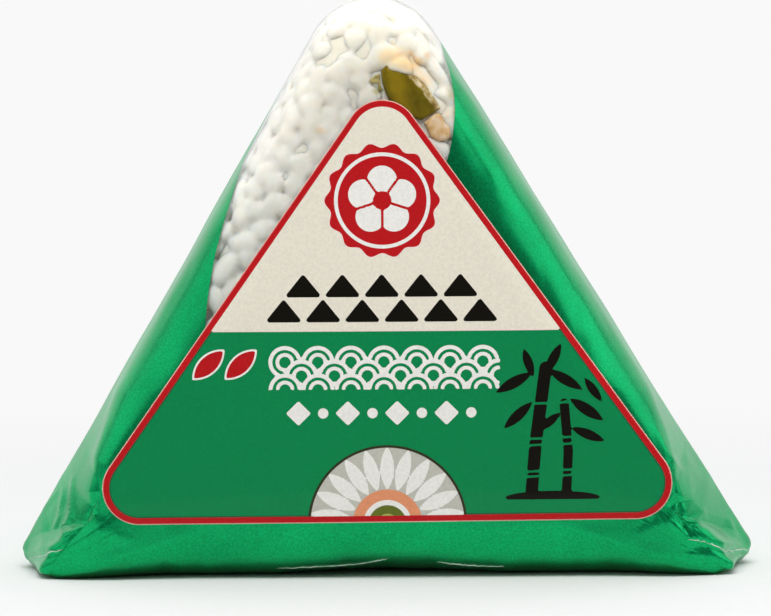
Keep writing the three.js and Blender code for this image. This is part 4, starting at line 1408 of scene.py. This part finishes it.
def rice_core(colour):
    """The pressed rice behind the grains that show."""
    steps = np.concatenate([np.linspace(2.97, 2, 40), np.linspace(1.95, 1, 26), np.linspace(0.95, 0, 18)])
    grid = rice_skin(CORE_INSET, 11.0, 9.0, steps, 0.9)
    points = grid.reshape(-1, 3)
    normals = grid_normals(grid).reshape(-1, 3)
    upper = upper_share(points)
    lumps = (0.35 * soft_noise(points, 2.6, 51) + 0.15 * soft_noise(points, 1.3, 53)) * (1 - 0.2 * upper)
    outward = np.sign(np.einsum("ij,ij->i", normals, points - (CENTRE[0], 0, CENTRE[1])))[:, None]
    points = points + normals * outward * (lumps + 0.5 * upper)[:, None]
    points = press_inside(points, np.maximum(under_fillings(points), 0.5 + 1.5 * side_gap(points)))
    points, faces = closed_ends(points, grid.shape[1], even_depth(*CENTRE) - CORE_INSET)
    # The core shows in the gaps between the grains; its beige tint is partly the rice's own colour and partly painted
    # shade in those gaps.
    gap_shade_beige = tinted(colour, (0.99, 0.975, 0.935))
    return new_piece("rice_core", points, faces, [rice_finish("pressed_rice", gap_shade_beige, 0.8)])


# ---- Fillings that show in the window ----

PEPPER_OUTLINE = [
    (0.4, 78.7), (0.9, 77.8), (2.3, 77.4), (3.7, 77.0), (4.9, 76.5), (6.4, 75.1), (7.6, 73.3), (8.5, 71.6), (7.5, 70.9),
    (5.7, 69.9), (3.6, 70.2), (2.0, 71.2), (0.7, 72.9), (0.2, 74.3), (-0.2, 75.4), (-0.3, 76.2), (-0.4, 77.3),
]
PEPPER_FLESH_LINE = [(4.3, 76.9), (5.9, 75.4), (7.2, 73.6), (8.4, 71.7)]
SLIVER_OUTLINE = [
    (-2.4, 75.8), (-1.8, 76.6), (-0.8, 77.1), (-0.5, 76.9), (-0.5, 75.0), (-0.2, 74.5), (-0.8, 74.5), (-0.9, 75.5),
    (-1.8, 75.5),
]
FLAKE_OUTLINE = [
    (5.8, 69.6), (7.8, 70.9), (8.7, 70.6), (9.3, 69.5), (10.2, 68.5), (10.0, 67.2), (8.4, 66.6), (6.9, 67.4),
]


def under_fillings(points):
    """How much deeper than the film the rice lies, so that it stays under the fillings."""
    return mix(FILM_COVER, 1.5, smooth((topping_fields(points) - 0.05) / 0.6))


def topping_fields(points):
    """How deep inside a filling's place each point lies, for points near the front film."""
    x, y, z = points.T
    near_front = -y > film_depth(x, z) - 4.4
    inside = np.full(len(points), -9.0)
    for outline in (PEPPER_OUTLINE, SLIVER_OUTLINE, FLAKE_OUTLINE):
        inside = np.maximum(inside, polygon(x, z, outline))
    return np.where(near_front, inside, -9.0)


def chunk(outline, corner, thickness, cover, rounding, pitch, seed, uneven):
    """A closed piece pressed flat against the film: points and triangles of its face, its back and its rim."""
    outline = np.array(spline([*outline, outline[0]], corner)[:-1]) if corner else np.array(outline)
    low, high = outline.min(0) - 0.5, outline.max(0) + 0.5
    gx, gz = np.meshgrid(np.arange(low[0], high[0], pitch), np.arange(low[1], high[1], pitch), indexing="ij")

    def field(flat):
        return polygon(*flat.T, outline) + 0.18 * soft_noise(flat, 1.2, seed) * uneven

    flat = np.stack([gx.ravel(), gz.ravel()], 1)
    faces = sheet_faces(*gx.shape)
    flat, faces, _, inside = cut_along(flat, faces, field(flat), np.zeros(len(faces), int))
    flat, faces = only(flat, faces[inside])
    x, z = flat.T
    edge = np.maximum(field(flat), 0)
    round_off = rounding * (1 - np.sqrt(1 - (1 - clamp01(edge / rounding)) ** 2))
    bumps = 0.12 * uneven * soft_noise(flat, 1.6, seed + 1) + 0.06 * uneven
    front_y = -(film_depth(x, z) - cover - round_off - np.maximum(bumps, 0))
    back_y = -(film_depth(x, z) - cover - thickness + round_off)
    front = np.stack([x, front_y, z], 1)
    if vertex_normals(front, faces)[:, 1].mean() > 0:
        faces = faces[:, ::-1]
    rim, _ = skirt(faces, len(front))
    points = np.concatenate([front, np.stack([x, back_y, z], 1)])
    return points, np.concatenate([faces, faces[:, ::-1] + len(front), rim])


class ONIGIRI_OT_fillings(bpy.types.Operator):
    """Presses the green pepper pieces and the salmon against the window"""

    bl_idname = "onigiri.fillings"
    bl_label = "Fillings"

    def execute(self, context):
        greens = [(0.3, (0.09, 0.066, 0.001)), (0.5, (0.165, 0.12, 0.001)), (0.7, (0.27, 0.19, 0.004))]
        skin = moist_finish("pepper_skin", greens, 3.0, (1.0, 1.0, 0.6))
        pales = [(0.32, (0.2, 0.13, 0.03)), (0.5, (0.42, 0.32, 0.13)), (0.68, (0.8, 0.72, 0.52))]
        flesh = moist_finish("pepper_flesh", pales, 1.0)
        points, faces = chunk(PEPPER_OUTLINE, 0, 2.8, 0.3, 0.55, 0.16, 61, 0.7)
        middle = points[faces].mean(1)
        strip_edge = stroke(middle[:, 0], middle[:, 2], PEPPER_FLESH_LINE, 0.8)
        slots = (strip_edge + 0.2 * soft_noise(middle, 0.8, 63) > 0).astype(int)
        pepper = new_piece("pepper_strip", points, faces, [skin, flesh], slots)
        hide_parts("pepper_piece")
        brown = moist_finish("pepper_dull", [(0.3, (0.2, 0.18, 0.06)), (0.7, (0.6, 0.5, 0.2))], 1.1)
        sliver = new_piece("pepper_end", *chunk(SLIVER_OUTLINE, 0, 1.6, 0.35, 0.4, 0.14, 67, 1.0), [brown])
        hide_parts("pepper_sliver")
        pinks = [(0.32, (0.52, 0.3, 0.12)), (0.5, (0.64, 0.43, 0.22)), (0.7, (0.74, 0.62, 0.46))]
        pink = moist_finish("salmon_flesh", pinks, 1.8)
        flake = new_piece("salmon_bit", *chunk(FLAKE_OUTLINE, 2, 2.4, 0.3, 0.7, 0.16, 71, 1.0), [pink])
        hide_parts("salmon_flake")
        for piece, slot in ((pepper, "green_pepper"), (sliver, "green_pepper"), (flake, "salmon")):
            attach(piece, "root")
        return {"FINISHED"}


# ---- Stage ----

PAPER_GLOW = 0.945
SHEET_HALF_WIDTH_M = 2.2


def soft_light(name, place_m, size_m, aim_m, power):
    light = bpy.data.lights.new(name, "AREA")
    light.shape = "RECTANGLE"
    light.size, light.size_y = size_m
    light.energy = power
    lamp = bpy.data.objects.new(name, light)
    lamp.location = place_m
    lamp.rotation_euler = (Vector(aim_m) - Vector(place_m)).to_track_quat("-Z", "Y").to_euler()
    bpy.context.scene.collection.objects.link(lamp)
    return lamp


def swept(name, profile, material):
    """A wide sheet over a profile of (y, z) in metres."""
    ends = (-SHEET_HALF_WIDTH_M, SHEET_HALF_WIDTH_M)
    points = np.array([(x / MM, y / MM, z / MM) for x in ends for y, z in profile])
    return new_piece(name, points, sheet_faces(2, len(profile)), [material])


def studio_air(light, seen):
    """A world that lights the pack softly and is as bright as the lit paper where it is seen itself."""
    world = bpy.data.worlds.new("studio_air")
    world.use_nodes = True
    nodes, links = world.node_tree.nodes, world.node_tree.links
    nodes["Background"].inputs["Color"].default_value = (1, 1, 1, 1)
    strength = nodes.new("ShaderNodeMapRange")
    strength.inputs["To Min"].default_value = light
    strength.inputs["To Max"].default_value = seen
    links.new(nodes.new("ShaderNodeLightPath").outputs["Is Camera Ray"], strength.inputs["Value"])
    links.new(strength.outputs["Result"], nodes["Background"].inputs["Strength"])
    return world


def sweep_paper(colour):
    """White paper that takes shadows in the middle of the stage and is lit evenly from behind round it."""
    paper = Finish("sweep_paper")
    away = paper.node("ShaderNodeVectorMath", {0: paper.place}, operation="LENGTH").outputs["Value"]
    reach = {"Value": away, "From Min": 0.06, "From Max": 0.24}
    lit = paper.node("ShaderNodeMapRange", reach, interpolation_type="SMOOTHSTEP").outputs["Result"]
    fibre = paper.ramp(paper.noise(1.5, 3.0), [(0.3, shaded(colour, 0.99)), (0.7, shaded(colour, 1.01))])
    fade = paper.blend(lit, fibre, (0.0, 0.0, 0.0))
    glow = paper.spread(lit, 0.0, PAPER_GLOW, 0.0, 1.0)
    paper.set(Base_Color=fade, Roughness=0.9, Specular_IOR_Level=0.0)
    paper.set(Emission_Color=(1.0, 1.0, 1.0), Emission_Strength=glow)
    return paper.material


class ONIGIRI_OT_stage(bpy.types.Operator):
    """Sets the pale floor, the soft lights and the camera"""

    bl_idname = "onigiri.stage"
    bl_label = "Stage"

    def execute(self, context):
        settings = context.scene.onigiri_pack.stage
        paper = sweep_paper(settings.floor)
        apron = swept("apron", [(-1.2, 0.0), (-0.1, 0.0)], paper)
        floor = swept("floor", [(-0.1, 0.0), (0.0, 0.0), (0.3, 0.0)], paper)
        curve = [(0.5 + 0.5 * math.sin(t), 0.5 - 0.5 * math.cos(t)) for t in np.linspace(0, math.pi / 2, 24)]
        backdrop = swept("backdrop", [(0.3, 0.0), (0.4, 0.0), *curve, (1.0, 2.2)], paper)
        apron.visible_glossy = False
        backdrop.visible_camera = False
        soft_light("left_panel", (-0.5, -0.2, 0.3), (0.8, 0.4), (0, -0.02, 0.06), 0.8)
        soft_light("right_panel", (0.5, -0.1, 0.3), (0.5, 0.4), (0, -0.02, 0.06), 0.75)
        soft_light("top_box", (0, 0.06, 0.8), (1.0, 0.8), (0, 0, 0), 2.5)
        fill = soft_light("fill_box", (0, -0.3, 0.75), (0.8, 0.3), (0, 0, 0.04), 5.7)
        fill.visible_glossy = False
        context.scene.world = studio_air(0.2, PAPER_GLOW)
        context.scene.view_settings.view_transform = "Standard"
        camera = bpy.data.cameras.new("camera")
        camera.lens = settings.lens
        camera.sensor_width = 36
        camera.clip_start = 0.01
        viewer = bpy.data.objects.new("camera", camera)
        aim = Vector((0, 0, 0.0399))
        viewer.location = aim + Vector((0, -math.cos(settings.elevation), math.sin(settings.elevation)))
        level = (aim - viewer.location).to_track_quat("-Z", "Y")
        viewer.rotation_euler = (level @ Quaternion((0, 0, 1), -settings.roll)).to_euler()
        context.scene.collection.objects.link(viewer)
        context.scene.camera = viewer
        return {"FINISHED"}


class VIEW3D_PT_onigiri(bpy.types.Panel):
    """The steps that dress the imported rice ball"""

    bl_label = "Rice ball"
    bl_idname = "VIEW3D_PT_onigiri"
    bl_space_type = "VIEW_3D"
    bl_region_type = "UI"
    bl_category = "Rice ball"

    def draw(self, context):
        pack = context.scene.onigiri_pack
        for operator, group in (
            ("onigiri.film", pack.film), ("onigiri.back_seam", None), ("onigiri.label", pack.label),
            ("onigiri.rice", pack.rice), ("onigiri.fillings", None), ("onigiri.stage", pack.stage),
        ):
            box = self.layout.box()
            box.operator(operator)
            if group is not None:
                for name in group.bl_rna.properties.keys():
                    if name not in ("rna_type", "name"):
                        box.prop(group, name)


CLASSES = [
    FilmSettings, RiceSettings, LabelSettings, StageSettings, PackSettings, ONIGIRI_OT_film, ONIGIRI_OT_back_seam,
    ONIGIRI_OT_label, ONIGIRI_OT_rice, ONIGIRI_OT_fillings, ONIGIRI_OT_stage, VIEW3D_PT_onigiri,
]


def register():
    for item in CLASSES:
        bpy.utils.register_class(item)
    bpy.types.Scene.onigiri_pack = bpy.props.PointerProperty(type=PackSettings)


def unregister():
    del bpy.types.Scene.onigiri_pack
    for item in reversed(CLASSES):
        bpy.utils.unregister_class(item)


def main():
    register()
    bpy.ops.onigiri.film()
    bpy.ops.onigiri.back_seam()
    bpy.ops.onigiri.label()
    bpy.ops.onigiri.fillings()
    bpy.ops.onigiri.rice()
    bpy.ops.onigiri.stage()


if __name__ == "__main__":
    main()
